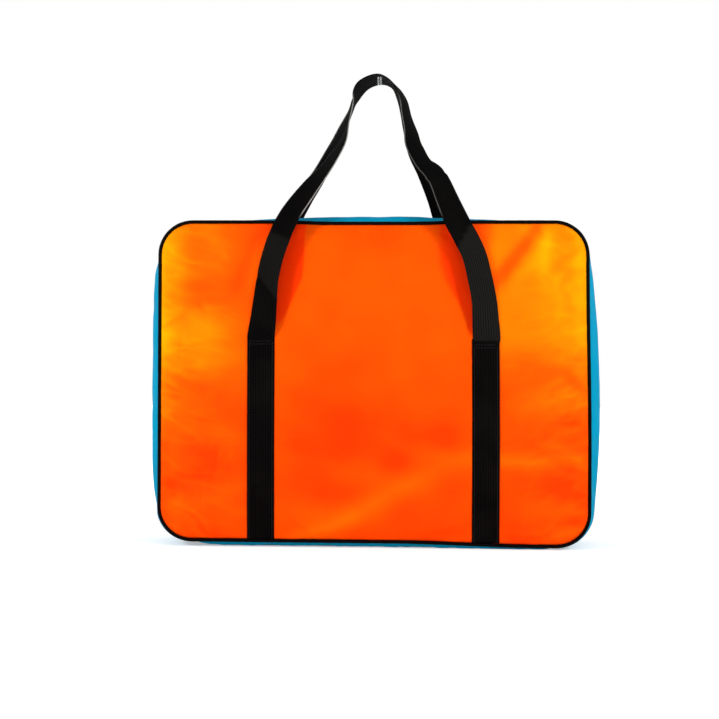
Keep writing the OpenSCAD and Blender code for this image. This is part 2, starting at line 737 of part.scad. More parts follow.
module pump_plunger() {
    rod_l = pump_l - pump_base_t - piston_rest + cap_rise + cap_cone + lay_gap;
    collar_l = pump_l - pump_base_t - piston_rest - cap_plug - lay_gap - pump_stroke;
    color("Silver") translate([pump_x, 0, pump_z + pump_base_t + piston_rest]) {
        cylinder(h = piston_h, r = pump_bore_r - piston_clear);
        cylinder(h = collar_l, r = collar_r);
        cylinder(h = rod_l + 2, r = rod_r);
        translate([0, 0, rod_l]) cylinder(h = grip_neck, r = grip_r - 1);
        translate([0, 0, rod_l + grip_neck + grip_r - 3]) rotate([90, 0, 0])
            cylinder(h = grip_l, r = grip_r, center = true);
    }
}

module pump_needle() {
    color("Silver") translate([pump_x - needle_x, 0, pump_z + needle_z]) {
        cylinder(h = needle_l, r = needle_r);
        translate([0, 0, needle_l - 1.5]) cylinder(h = hub_l, r = 2 * needle_r);
        translate([0, 0, -needle_tip_l]) cylinder(h = needle_tip_l + 1, r = needle_r / 2);
    }
}

panel(-1);  // front_panel
panel(1);  // back_panel
foam(-1);  // front_foam
foam(1);  // back_foam
lining(-1);  // front_lining
lining(1);  // back_lining
gusset();
gusset_end(-1);  // gusset_end_left
gusset_end(1);  // gusset_end_right
piping(-1);  // front_piping
piping(1);  // back_piping
base_board();
top_flap(-1);  // top_flap_front
top_flap(1);  // top_flap_back
zip_tape(-1);  // zip_tape_front
zip_tape(1);  // zip_tape_back
zip_teeth(-1);  // zip_teeth_front
zip_teeth(1);  // zip_teeth_back
zip_end(-1);  // zip_end_left
zip_end(1);  // zip_end_right
zip_end_teeth();
zip_stops();
zip_slider();
zip_pull();
sewn_strap(-1, -1);  // strap_front_left
sewn_strap(-1, 1);  // strap_front_right
sewn_strap(1, -1);  // strap_back_left
sewn_strap(1, 1);  // strap_back_right
handle(-1, front_route);  // handle_front
handle(1, back_route);  // handle_back
rim_section(1);  // rim_section_1
rim_section(2);  // rim_section_2
rim_section(3);  // rim_section_3
rim_section(4);  // rim_section_4
rim_section(5);  // rim_section_5
leg(1);  // leg_1
leg(2);  // leg_2
leg(3);  // leg_3
leg(4);  // leg_4
leg(5);  // leg_5
leg_feet();
ball(1);  // ball_1
ball(2);  // ball_2
ball(3);  // ball_3
net_roll();
net_ties();
pump_barrel();
pump_cap();
pump_plunger();
pump_needle();
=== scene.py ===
import json
import math

import bpy
import numpy as np
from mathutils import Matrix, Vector, noise
from mathutils.bvhtree import BVHTree


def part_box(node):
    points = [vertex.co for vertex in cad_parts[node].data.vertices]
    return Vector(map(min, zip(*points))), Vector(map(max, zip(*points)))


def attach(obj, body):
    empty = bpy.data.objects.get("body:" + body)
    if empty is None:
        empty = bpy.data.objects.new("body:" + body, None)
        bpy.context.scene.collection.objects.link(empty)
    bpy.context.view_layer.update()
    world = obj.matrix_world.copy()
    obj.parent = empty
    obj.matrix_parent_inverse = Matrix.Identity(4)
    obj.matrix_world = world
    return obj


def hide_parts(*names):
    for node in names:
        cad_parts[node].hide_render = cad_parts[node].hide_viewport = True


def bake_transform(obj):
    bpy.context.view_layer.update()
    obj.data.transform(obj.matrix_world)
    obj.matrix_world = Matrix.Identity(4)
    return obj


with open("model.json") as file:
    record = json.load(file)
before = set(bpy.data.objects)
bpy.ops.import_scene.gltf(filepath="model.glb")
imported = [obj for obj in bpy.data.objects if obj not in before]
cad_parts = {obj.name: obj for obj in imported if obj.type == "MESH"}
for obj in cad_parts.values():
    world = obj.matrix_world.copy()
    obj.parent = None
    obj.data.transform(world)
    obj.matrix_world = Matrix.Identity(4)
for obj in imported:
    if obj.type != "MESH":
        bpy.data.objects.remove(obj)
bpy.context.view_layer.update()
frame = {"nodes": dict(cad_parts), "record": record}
nodes = frame["nodes"]
scene = bpy.context.scene
print("frame loaded:", len(nodes), "nodes")

camera = {
    "distance": 2.0,  # to the plane of the front seam
    "frameWidth": 719 * .001392,  # width of that plane in view
    "aimX": -.0195,
    "height": .2625,
    "turn": 2.7,  # degrees to the right of square on
    "roll": -.27,
    "sensor": 36,
}


def addCamera(c):
    data = bpy.data.cameras.new("camera")
    data.sensor_width = c["sensor"]
    data.lens = c["sensor"] * c["distance"] / c["frameWidth"]
    data.clip_start, data.clip_end = .05, 50
    turn = math.radians(c["turn"])
    eye = bpy.data.objects.new("camera", data)
    eye.location = (c["aimX"] + c["distance"] * math.sin(turn),
                    -halfD - c["distance"] * math.cos(turn), c["height"])
    eye.rotation_euler = (math.radians(90), math.radians(c["roll"]), turn)
    scene.collection.objects.link(eye)
    scene.camera = eye


# sizes read from the frame

pipeLow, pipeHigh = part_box("front_piping")
pipeR = (pipeHigh.y - pipeLow.y) / 2
halfW = pipeHigh.x - pipeR
halfD = -(pipeHigh.y + pipeLow.y) / 2
bottomZ = pipeLow.z + pipeR
topZ = pipeHigh.z - pipeR
midZ = (bottomZ + topZ) / 2
halfH = (topZ - bottomZ) / 2
flapLow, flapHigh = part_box("top_flap_front")
strapLow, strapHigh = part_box("strap_front_right")
webWidth = strapHigh.x - strapLow.x
strapX = (strapHigh.x + strapLow.x) / 2
stitchZ = strapHigh.z
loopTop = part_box("handle_front")[1].z

bag = {
    "cornerR": .046,
    "crown": .008,  # how far a face stands out at its middle
    "sideBulge": .016,
    "bottomBulge": .01,
    "seam": .0026,  # from the piping's middle to the fabric's edge
    "skin": .0012,
}
addCamera(camera)


words = {-1: "front", 1: "back"}


def points(x, y, z):
    # points from numbers and arrays of matching shapes
    return np.stack(np.broadcast_arrays(x, y, z), -1)


def newPiece(name, verts, faces):
    mesh = bpy.data.meshes.new(name)
    mesh.from_pydata(verts, [], faces)
    mesh.shade_smooth()
    piece = bpy.data.objects.new(name, mesh)
    scene.collection.objects.link(piece)
    return piece


def gridMesh(name, p, wrapRows=False, wrapCols=False, flip=False, caps=False):
    # a sheet of quads through rows of points, with its lengths in metres as UVs
    rows, cols = p.shape[:2]
    i = np.arange(rows if wrapRows else rows - 1)
    j = np.arange(cols if wrapCols else cols - 1)
    a, b = (n.ravel() for n in np.meshgrid(i, j, indexing="ij"))
    order = [(a, b), (a, b + 1), (a + 1, b + 1), (a + 1, b)]
    if flip:
        order = order[::-1]
    faces = np.stack([(r % rows) * cols + c % cols for r, c in order], 1).tolist()
    stepU = np.linalg.norm(np.roll(p, -1, 1) - p, axis=2).mean(0)
    stepV = np.linalg.norm(np.roll(p, -1, 0) - p, axis=2).mean(1)
    u = np.concatenate([[0], np.cumsum(stepU)])
    v = np.concatenate([[0], np.cumsum(stepV)])
    uv = np.stack([np.stack([u[c], v[r]], 1) for r, c in order], 1).ravel()
    if caps:  # closes both ends of a tube
        ring = np.arange(cols)
        faces += [ring[::-1].tolist(), (ring + (rows - 1) * cols).tolist()]
        uv = np.concatenate([uv, np.zeros(cols * 4)])
    piece = newPiece(name, p.reshape(-1, 3).tolist(), faces)
    piece.data.uv_layers.new(name="cloth").data.foreach_set("uv", uv)
    return piece


def thicken(piece, thickness):
    m = piece.modifiers.new("thickness", "SOLIDIFY")
    m.thickness = thickness
    m.offset = -1
    m.use_even_offset = False


def soften(piece):
    m = piece.modifiers.new("smooth", "SUBSURF")
    m.levels = m.render_levels = 1


def coordinates(piece):
    co = np.empty(len(piece.data.vertices) * 3)
    piece.data.vertices.foreach_get("co", co)
    return co.reshape(-1, 3)


def setCoordinates(piece, co):
    piece.data.vertices.foreach_set("co", co.ravel())
    piece.data.update()


def paint(piece, word, values):
    # a value at each point, which the piece's material reads
    piece.data.attributes.new(word, "FLOAT", "POINT").data.foreach_set("value", values.ravel())


def unit(v):
    return v / np.maximum(np.linalg.norm(v, axis=-1, keepdims=True), 1e-12)


def ease(distance, over=1):
    # rises smoothly from 0 to 1 over a distance
    t = np.clip(distance / over, 0, 1)
    return t * t * (3 - 2 * t)


def turned(x, z, tilt):
    # distances along and across a direction that is tilted from x towards z
    c, s = np.cos(tilt), np.sin(tilt)
    return x * c + z * s, z * c - x * s


def besideLine(x, z, x0, z0, x1, z1):
    # distance along a line from its first end, distance off it, and the line's length
    along, off = turned(x - x0, z - z0, math.atan2(z1 - z0, x1 - x0))
    return along, off, math.hypot(x1 - x0, z1 - z0)


def wander(p, size, seed):
    # smooth noise from -1 to 1 at every point of an array
    flat = p.reshape(-1, 3) / size + seed * 17.3
    return np.array([noise.noise(q) for q in flat.tolist()]).reshape(p.shape[:-1])


def curveThrough(knots, steps):
    # smooth curve through rows of numbers, with even steps between the rows
    k = np.array(knots, float)
    before, after = np.concatenate([k[:1], k[:-2]]), np.concatenate([k[2:], k[-1:]])
    a, b, c, d = (rows[:, None] for rows in (before, k[:-1], k[1:], after))
    t = (np.arange(steps) / steps)[:, None]
    out = (2 * b + (c - a) * t + (2 * a - 5 * b + 4 * c - d) * t * t
           + (3 * b - a - 3 * c + d) * t ** 3) / 2
    return np.concatenate([out.reshape(-1, k.shape[1]), k[-1:]])


def rings(path, wide, high, radius, sides):
    # a circle of points round each point of a path
    angle = (np.arange(sides) * 2 * math.pi / sides)[:, None]
    return path[:, None] + radius * (np.cos(angle) * wide[:, None]
                                     + np.sin(angle) * high[:, None])


def tube(name, path, radius, sides, closed=False):
    # a round tube along a path of points; radius may be one number or one for each point
    ahead = np.roll(path, -1, 0) - np.roll(path, 1, 0)
    if not closed:
        ahead[0], ahead[-1] = path[1] - path[0], path[-1] - path[-2]
    ahead = unit(ahead)
    side = np.array([0, 1.0, 0]) if abs(ahead[0][1]) < .9 else np.array([1.0, 0, 0])
    wide = []
    for t in ahead:  # carried along, so that the tube doesn't twist
        side = unit(side - t * (side @ t))
        wide.append(side)
    wide = np.array(wide)
    skin = rings(path, wide, np.cross(ahead, wide), np.reshape(radius, (-1, 1, 1)), sides)
    return gridMesh(name, skin, wrapRows=closed, wrapCols=True, caps=not closed)


def joined(name, pieces):
    # one mesh from several, each already in place
    verts, faces = [], []
    for o in pieces:
        shift = len(verts)
        verts += [tuple(v.co) for v in o.data.vertices]
        faces += [tuple(n + shift for n in f.vertices) for f in o.data.polygons]
        bpy.data.meshes.remove(o.data)
    return newPiece(name, verts, faces)


def stitchRow(path, outward, length, gap, radius):
    # short threads along a path on a surface: points, and the way out from the surface
    along = np.concatenate([[0], np.cumsum(np.linalg.norm(np.diff(path, axis=0), axis=1))])
    made = []
    for k in range(int(along[-1] / (length + gap))):
        s = k * (length + gap) + gap / 2 + np.array([0, .12, .5, .88, 1]) * length
        q, m = (np.stack([np.interp(s, along, rows[:, c]) for c in range(3)], 1)
                for rows in (path, outward))
        lift = np.array([-.6, .55, .8, .55, -.6])[:, None] * radius
        made.append((q + unit(m) * lift, unit(m)))
    return made


def stitching(name, rows, radius):
    sides = 6
    size = np.array([.35, 1, 1, 1, .35])[:, None, None] * radius
    verts, faces = [], []
    for q, m in rows:
        t = unit(np.gradient(q, axis=0))
        w = unit(np.cross(t, m))
        start = len(verts)
        verts += rings(q, w, np.cross(w, t), size, sides).reshape(-1, 3).tolist()
        for i in range(len(q) - 1):
            for j in range(sides):
                a, b = start + i * sides + j, start + i * sides + (j + 1) % sides
                faces.append((a, a + sides, b + sides, b))
        ring = range(start, start + sides)
        faces += [tuple(ring), tuple(n + (len(q) - 1) * sides for n in ring[::-1])]
    return newPiece(name, verts, faces)


def put(tree, kind, **given):
    # adds one shader node, with its settings by name, and its sockets by name or number,
    # each as a plain value or another node's output
    n = tree.nodes.new("ShaderNode" + kind)
    for key, value in given.items():
        if hasattr(n, key):
            setattr(n, key, value)
            continue
        target = n.inputs[int(key[1:]) if key[1:].isdigit() else key]
        if isinstance(value, bpy.types.NodeSocket):
            tree.links.new(value, target)
        else:
            target.default_value = value
    return n


def sums(tree, operation, a, b=0.0, c=0.0):
    return put(tree, "Math", operation=operation, i0=a, i1=b, i2=c).outputs[0]


def mixColour(tree, share, a, b, how="MIX"):
    return put(tree, "Mix", data_type="RGBA", blend_type=how,
               i0=share, i6=a, i7=b).outputs[2]


def mapped(tree, value, a, b, c=0.0, d=1.0):
    # a to b becomes c to d, and stays at these beyond
    return put(tree, "MapRange", Value=value, i1=a, i2=b, i3=c, i4=d).outputs[0]


def painted(tree, word):
    return put(tree, "Attribute", attribute_name=word).outputs["Fac"]


def shaded(tree, share, colour, shade):
    grey = put(tree, "CombineColor", Red=shade, Green=shade, Blue=shade).outputs[0]
    return mixColour(tree, share, colour, grey, "MULTIPLY")


def newMaterial(name, **sockets):
    m = bpy.data.materials.new(name)
    m.use_nodes = True
    shader = m.node_tree.nodes["Principled BSDF"]
    for key, value in sockets.items():
        shader.inputs[key.replace("_", " ")].default_value = value
    return m, m.node_tree, shader


def coat(tree, shader, colour, height, strength, distance):
    # gives a shader its colour and its relief
    bump = put(tree, "Bump", Strength=strength, Distance=distance, Height=height)
    tree.links.new(bump.outputs[0], shader.inputs["Normal"])
    tree.links.new(colour, shader.inputs["Base Color"])


def rgb(*srgb):
    # an 8-bit colour as the shader's own linear values
    c = [v / 255 for v in srgb]
    return tuple(v / 12.92 if v <= .04045 else ((v + .055) / 1.055) ** 2.4 for v in c) + (1,)


def deeper(colour, share):
    return tuple(c * share for c in colour[:3]) + (1,)


def clothPlaces(tree):
    parts = put(tree, "SeparateXYZ", i0=put(tree, "UVMap", uv_map="cloth").outputs[0])
    return parts.outputs[0], parts.outputs[1]


def spotNoise(tree, size, detail=2.0, coordinate=None):
    where = coordinate or put(tree, "TexCoord").outputs["Object"]
    n = put(tree, "TexNoise", Vector=where, Scale=1 / size, Detail=detail)
    return n.outputs["Fac"]


def fabric(name, colour, pale, pitch, roughness, specular, tones=None, mottle=.35):
    # plain weave; tones is a row of (place, colour) along the tone painted on the piece from 0 to
    # 1, which holds painted light and shade as well as the cloth's own uneven colour
    m, tree, shader = newMaterial(name, Roughness=roughness, Specular_IOR_Level=specular)
    a, b = (sums(tree, "SINE", sums(tree, "MULTIPLY", way, math.pi / pitch))
            for way in clothPlaces(tree))
    height = sums(tree, "ABSOLUTE", sums(tree, "MULTIPLY", a, b))
    cloudy = mapped(tree, spotNoise(tree, .09), .35, .68)
    base = mixColour(tree, sums(tree, "MULTIPLY", cloudy, mottle), colour, pale)
    if tones:
        ramp = put(tree, "ValToRGB", Fac=painted(tree, "tone"))
        stops = ramp.color_ramp.elements
        while len(stops) < len(tones):
            stops.new(.5)
        for stop, (place, shown) in zip(stops, tones):
            stop.position, stop.color = place, shown
        base = mixColour(tree, mottle, ramp.outputs[0], base)
    # painted shade and highlight: the weave's hollows are darker and its raised places paler
    base = shaded(tree, .8, base, mapped(tree, height, 0.0, 1.0, .84, 1.06))
    coat(tree, shader, base, height, .5, pitch * .3)
    return m


def plastic(name, colour, roughness, grain, depth, gloss=0.0, specular=.5):
    m, tree, shader = newMaterial(name, Roughness=roughness, Coat_Weight=gloss,
                                  Specular_IOR_Level=specular)
    slow = mapped(tree, spotNoise(tree, .03), .3, .7)
    base = mixColour(tree, slow, colour, deeper(colour, .82))
    coat(tree, shader, base, spotNoise(tree, grain, 3), .4, depth)
    return m


def metal(name, colour, roughness):
    m, tree, shader = newMaterial(name, Metallic=1.0, Roughness=roughness)
    streak = put(tree, "Mapping", Vector=put(tree, "TexCoord").outputs["Object"],
                 Scale=(1, 1, 12)).outputs[0]
    n = spotNoise(tree, .0015, 2, streak)
    base = mixColour(tree, n, colour, deeper(colour, .8))
    rough = mapped(tree, n, 0.0, 1.0, roughness * .8, roughness * 1.25)
    tree.links.new(base, shader.inputs["Base Color"])
    tree.links.new(rough, shader.inputs["Roughness"])
    return m


def ribbedWebbing(name, dark, lit, edge):
    # painted light: tone 0 to 1 is how far a stretch is painted towards the lit colour where it
    # catches the light, and the edge value how pale its edges show as a painted highlight
    m, tree, shader = newMaterial(name, Roughness=.55, Specular_IOR_Level=.004)
    across = painted(tree, "across")
    wave = sums(tree, "MULTIPLY", across, webRibs * math.pi)
    rib = sums(tree, "ABSOLUTE", sums(tree, "COSINE", wave))
    pick = sums(tree, "SINE", sums(tree, "MULTIPLY", clothPlaces(tree)[1], 2 * math.pi / .0011))
    height = sums(tree, "ADD", rib, sums(tree, "MULTIPLY", pick, .3))
    # random patches mixed towards the lit colour: partly wear and partly painted sheen
    wearAndSheen = mapped(tree, spotNoise(tree, .05), .4, .7, 0.0, .22)
    base = mixColour(tree, sums(tree, "ADD", painted(tree, "tone"), wearAndSheen), dark, lit)
    # painted shade and highlight of the ribs: stripes along the webbing, darker and paler by the
    # rib value
    base = shaded(tree, 1.0, base, mapped(tree, rib, .1, .8, .2, 1.4))
    off = sums(tree, "ABSOLUTE", sums(tree, "SUBTRACT", across, .5))
    near = mapped(tree, off, .458, .475)
    shown = mixColour(tree, sums(tree, "MULTIPLY", near, painted(tree, "edgeHighlight")), base, edge)
    coat(tree, shader, shown, height, .6, .0003)
    return m


webRibs = 11  # across the webbing
orangeTones = [(0.0, rgb(255, 14, 0)), (.3, rgb(255, 58, 0)), (.5, rgb(255, 96, 0)),
               (.75, rgb(255, 146, 0)), (1.0, rgb(255, 192, 0))]


finishes = {
    "orange_fabric": fabric("orangeCloth", rgb(255, 66, 0), rgb(255, 104, 0), .0006, .6, .02,
                            orangeTones, .2),
    "blue_fabric": fabric("blueCloth", rgb(0, 148, 188), rgb(0, 168, 208), .0006, .55, .02),
    "foam": plastic("foamSheet", rgb(232, 230, 222), .9, .002, .0003),
    "lining": fabric("liningCloth", rgb(104, 107, 114), rgb(120, 123, 130), .0004, .5, .2),
    "piping": plastic("pipingCloth", rgb(8, 5, 5), .45, .0004, .00006, specular=.02),
    "board": plastic("bottomBoard", rgb(40, 41, 44), .7, .0012, .0001),
    "webbing": ribbedWebbing("handleWebbing", rgb(8, 7, 7), rgb(24, 24, 22), rgb(138, 135, 131)),
    "zip_tape": fabric("zipTape", rgb(20, 20, 22), rgb(28, 28, 30), .0005, .65, .15),
    "zip_teeth": plastic("zipTeeth", rgb(34, 34, 37), .35, .0004, .00002),
    "slider_metal": metal("sliderPlating", rgb(70, 70, 74), .3),
    "pull_rubber": plastic("pullTab", rgb(24, 24, 26), .55, .0006, .00004),
    "steel": metal("drawnSteel", rgb(190, 190, 194), .28),
    "rim_plastic": plastic("rimTube", rgb(26, 26, 29), .45, .0007, .00005),
    "leg_plastic": plastic("legPlastic", rgb(238, 196, 34), .4, .0008, .00005, .1),
    "foot_rubber": plastic("footRubber", rgb(38, 38, 40), .75, .0005, .00008),
    "ball_rubber": plastic("ballRubber", rgb(248, 216, 40), .6, .0016, .0003),
    "net_cord": plastic("netCord", rgb(242, 206, 48), .8, .0005, .00012),
    "tie_band": plastic("tieBand", rgb(26, 26, 28), .65, .0006, .0001),
    "pump_plastic": plastic("pumpBarrel", rgb(28, 28, 31), .3, .0008, .00003, .2),
}
thread = plastic("blackThread", rgb(30, 30, 31), .6, .0003, .00005, specular=.1)
blueThread = plastic("blueThread", rgb(0, 118, 168), .6, .0003, .00005, specular=.1)
# painted shade: the roll's core is a deeper yellow than its cords, for the shaded inner layers of
# the net
netShade = plastic("netInside", rgb(186, 150, 30), .85, .0012, .0003, specular=.1)
paleThread = plastic("paleThread", rgb(222, 223, 223), .6, .0003, .00005)


def dress(piece, slot, material=None):
    piece.data.materials.clear()
    piece.data.materials.append(material or finishes[slot])
    return piece


for item in frame["record"]["subparts"]:
    node = nodes[item["node"]]
    node.data.materials.clear()
    node.data.materials.append(finishes[item["material_slot"]])
print("finishes made:", len(finishes))


settled = {
    "topDip": .0018,  # the top edge hangs between the handles
    "topDipHalf": .092,
    "topDipBlur": .02,
    "cornerDrop": .0032,  # the lower right corner has sunk to the ground
    "leftLift": .001,
    "upperRight": -.004,  # the right edge draws in towards its top
}


def betweenHandles(x):
    # near 1 between the handles and 0 past them
    half, blur = settled["topDipHalf"], settled["topDipBlur"]
    return (np.tanh((x + half) / blur) - np.tanh((x - half) / blur)) / 2


def settle(p, side=-1):
    # moves points of the drawn bag to where the fabric hangs; the back is the other way round
    p = np.array(p, float)
    x, z = -p[..., 0] * side, p[..., 2]
    high = ease(z - midZ, halfH) ** 2
    low = ease(midZ - z, halfH)
    right = ease(x - .03, .2)
    p[..., 2] -= settled["topDip"] * betweenHandles(x) * high
    p[..., 2] += low * (settled["leftLift"] * (1 - right) - settled["cornerDrop"] * right)
    lean = settled["upperRight"] * ease(z - .12, .3) * ease(x, halfW)
    p[..., 0] += -side * lean
    return p


def crown(x, z):
    return bag["crown"] * (1 - (x / halfW) ** 2) * (1 - ((z - midZ) / halfH) ** 2)


panel = {
    "midColumns": 112,
    "cornerColumns": 10,
    "rows": 96,
    "finer": 2,
    "pressure": 3.0,
    "spare": .012,  # extra cloth between the seams, as a share
    "frames": 22,
    "cap": .0038,  # furthest that the filling may push the cloth
    "capAtStrap": .0007,
    "strapReach": .034,  # cloth this near a strap lies flatter
    "puckerDepth": .0006,
    "puckerReach": .014,
    "wrinkle": .0009,
    "drift": .0007,
    "lines": 1.1,  # thin creases beside the soft ones
    "lineWidth": .16,
    "wrinkleTilt": 14,  # degrees, rising towards the side edges
}


def faceGrid(side, inset, depth, cornerColumns, midColumns, rows):
    a, b, r = halfW - inset, halfH - inset, bag["cornerR"] - inset
    arc = np.sin(np.linspace(0, math.pi / 2, cornerColumns + 1)) * r + a - r
    mid = np.linspace(-(a - r), a - r, midColumns + 1)[1:-1]
    x = np.concatenate([-arc[::-1], mid, arc])[:, None]
    over = np.maximum(0, np.abs(x) - (a - r))
    reach = b - r + np.sqrt(np.maximum(0, r * r - over * over))
    z = midZ + reach * np.linspace(-1, 1, rows + 1)
    return points(x, side * (halfD - depth + crown(x, z)), z)


def edgeDistance(co):
    # how far the points of a face lie inside the piping
    dx, dz = halfW - np.abs(co[:, 0]), halfH - np.abs(co[:, 2] - midZ)
    r = bag["cornerR"]
    inCorner = (dx < r) & (dz < r)
    return np.where(inCorner, r - np.hypot(r - dx, r - dz), np.minimum(dx, dz))


filling = {  # settings of the cloth solver
    "quality": 5, "mass": .3, "tension_stiffness": 18, "compression_stiffness": 18,
    "shear_stiffness": 8, "bending_stiffness": .4, "vertex_group_mass": "seams",
    "use_pressure": True,
}


def simulate(piece, held, s, cap):
    # fills the cloth from behind while its seams are held, then keeps the result
    start = coordinates(piece)
    piece.vertex_groups.new(name="seams").add([int(i) for i in held], 1, "REPLACE")
    m = piece.modifiers.new("fill", "CLOTH")
    for key, value in filling.items():
        setattr(m.settings, key, value)
    m.settings.uniform_pressure_force = s["pressure"]
    m.settings.shrink_min = -s["spare"]
    m.settings.effector_weights.gravity = 0
    m.collision_settings.use_collision = False
    m.point_cache.frame_start, m.point_cache.frame_end = 1, s["frames"]
    for f in range(1, s["frames"] + 1):
        scene.frame_set(f)
    moved = coordinates(piece.evaluated_get(bpy.context.evaluated_depsgraph_get())) - start
    piece.modifiers.remove(m)
    scene.frame_set(1)
    far = np.linalg.norm(moved, axis=1, keepdims=True)
    moved *= np.minimum(1, np.reshape(cap, (-1, 1)) / np.maximum(far, 1e-9))
    setCoordinates(piece, start + moved)


creases = [  # x, z of both ends, width and height of each soft fold
    (-.3, .296, -.172, .316, .022, .002),
    (-.296, .306, -.262, .3245, .0045, -.0012),
    (-.246, .339, -.235, .327, .004, -.0009),
    (-.15, .452, -.195, .362, .012, -.0015),
    (-.276, .44, -.272, .35, .014, .0012),
    (-.27, .236, -.18, .246, .012, -.0008),
    (-.292, .16, -.225, .172, .011, -.0009),
    (-.218, .137, -.2235, .098, .0035, -.0006),
    (-.206, .131, -.211, .118, .003, -.0006),
    (-.29, .088, -.235, .104, .01, -.001),
    (-.28, .056, -.2, .066, .012, .001),
    (.237, .452, .241, .382, .0115, .0017),
    (.228, .45, .236, .436, .004, -.0008),
    (.238, .456, .172, .368, .0105, -.0034),
    (.291, .42, .252, .39, .006, -.0011),
    (.297, .22, .262, .244, .007, -.0012),
    (.262, .244, .205, .252, .013, -.0008),
    (.292, .17, .258, .178, .0055, -.0009),
    (.294, .127, .24, .146, .007, .001),
    (.292, .107, .255, .118, .005, -.0009),
    (.29, .076, .215, .084, .009, -.0009),
    (.284, .045, .25, .036, .006, -.001),
    (-.05, .11, .06, .085, .016, .0008),
    (-.085, .052, -.02, .04, .013, .0009),
    (.02, .15, .11, .118, .014, .0007),
]


def creaseHeight(x, z):
    total = np.zeros_like(x)
    for x0, z0, x1, z1, width, height in creases:
        s, off, length = besideLine(x, z, x0, z0, x1, z1)
        s = s / length
        off = off + width * .5 * wander(points(s * 2, 0, 0), 1.0, width * 900)
        ends = np.exp(-np.maximum(0, np.abs(s - .5) - .3) ** 2 * 14)
        total += height * ends * (np.exp(-(off / width) ** 2)
                                  - .5 * np.exp(-((off - 2 * width) / (1.4 * width)) ** 2))
    return total


def strapDistance(x):
    return np.abs(np.abs(x) - strapX) - webWidth / 2


def panelCap(x):
    # the cloth may swell between the straps, and hardly at all beside and behind them
    near = 1 - ease(strapDistance(x), panel["strapReach"])
    return panel["cap"] + (panel["capAtStrap"] - panel["cap"]) * near


def refined(field, times):
    # the same field on a grid with more steps each way, eased between the old places
    for axis in (0, 1):
        f = np.moveaxis(field, axis, 0)
        t = np.arange((len(f) - 1) * times + 1) / times
        k = np.minimum(t.astype(int), len(f) - 2)
        part = (t - k)[:, None, None]
        f = f[k] * (1 - part) + f[k + 1] * part
        for _ in range(2):
            f[1:-1] = (f[:-2] + 2 * f[1:-1] + f[2:]) / 4
        field = np.moveaxis(f, 0, axis)
    return field


def addPanel(side):
    grid, fine = (faceGrid(side, bag["seam"], 0, *(panel[key] * times for key in
                                                    ("cornerColumns", "midColumns", "rows")))
                  for times in (1, panel["finer"]))
    piece = gridMesh("coarse", grid, flip=side < 0)
    co = coordinates(piece)
    edge = edgeDistance(co)
    underStrap = (strapDistance(co[:, 0]) < -.003) & (co[:, 2] < stitchZ)
    held = np.nonzero((edge < bag["seam"] + .0008) | underStrap)[0]
    simulate(piece, held, panel, panelCap(co[:, 0]))
    push = (coordinates(piece) - co).reshape(grid.shape)
    bpy.data.objects.remove(piece)
    piece = gridMesh(words[side] + "Panel", fine + refined(push, panel["finer"]), flip=side < 0)
    co = coordinates(piece)
    edge = edgeDistance(co)
    x, z = co[:, 0] * -side, co[:, 2]
    waves = wander(points(x, z, np.arctan2(z - midZ, x) * .3), .012, 3 + side)
    pucker = panel["puckerDepth"] * waves * np.exp(-edge / panel["puckerReach"])
    free = .2 + .8 * ease(strapDistance(x) + .002, .016)
    folds = creaseHeight(x, z)
    slow = wander(points(x, z, 0), .06, 8 + side)
    sharp = wrinkles(x, z, side)
    relief = pucker + (folds * ease(edge - .003, .014) + panel["drift"] * slow
                       + panel["wrinkle"] * sharp) * free
    relief = np.maximum(relief, -.001) * ease(edge, .01)
    co[:, 1] += side * relief
    setCoordinates(piece, settle(co, side))
    paint(piece, "tone", toneAndPaintedLight(x, z, folds, slow, sharp, side))
    thicken(piece, bag["skin"])
    dress(piece, "orange_fabric")
    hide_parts(words[side] + "_panel")
    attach(piece, "bag")
    return piece


# turn, size and share of each set of thin creases
thinLines = [(.0, .03, 1.0), (.9, .036, .5), (-1.1, .032, .5)]


def wrinkles(x, z, side):
    # fine folds that run in from the side edges, one flank steeper than the other
    along, over = turned(x, z, math.radians(panel["wrinkleTilt"]) * np.sign(x))
    warp = .008 * wander(points(x, z, 0), .05, 40 + side)
    ridge = 1 - 2 * np.abs(wander(points(along / 3.2, over + warp, 0), .024, 44 + side))
    fine = 1 - 2 * np.abs(wander(points(along / 3.2 * 1.4, over + warp, 0), .011, 47 + side))
    reach = .16 + .84 * ease(np.abs(x) - .165, .09)
    thin = np.zeros_like(x)
    for k, (turn, size, share) in enumerate(thinLines):
        a, b = turned(along, over, turn)
        flank = wander(points(a / 3.5, b + warp, 0), size, 60 + 3 * k + side)
        flank = np.clip(flank / panel["lineWidth"], -1, 1)
        here = ease(wander(points(x, z, 0), .05, 70 + 3 * k + side), .25)
        thin += share * flank * (1 - flank ** 2) * here
    return (.7 * ridge * np.abs(ridge) + .3 * fine - .35 + panel["lines"] * thin) * reach


# painted light and shade: paler and deeper patches of the cloth's tone where its folds catch or
# lose the light
paintedLightPatches = [  # x, z, half width, half height, tilt and how much paler
    (-.215, .25, .055, .02, 5, .12),
    (-.255, .164, .05, .013, -5, .15),
    (-.2, .083, .035, .013, 0, .11),
    (-.275, .052, .02, .012, 0, .09),
    (-.228, .278, .065, .022, 0, .08),
    (-.205, .05, .04, .012, 0, .07),
    (-.035, .178, .075, .05, 0, -.09),
    (.015, .07, .13, .018, 28, .16),
    (-.07, .026, .045, .01, 12, .1),
    (-.109, .042, .045, .02, 0, .07),
    (.205, .124, .085, .012, -2, .18),
    (.25, .205, .068, .018, 5, .17),
    (.262, .028, .025, .014, 0, .07),
]


# painted shadow of the free webbing on the front face's cloth
webShade = {
    "depth": .24,  # how much deeper the cloth shows in it
    "rightShare": .9,
    "from": .3036,  # height where its inner edge leaves the strap
    "outer": .165,  # where it ends behind the webbing
    "drawnIn": .042,  # that place leans in this much towards the top
    "fade": .02,  # eased in over this height
}


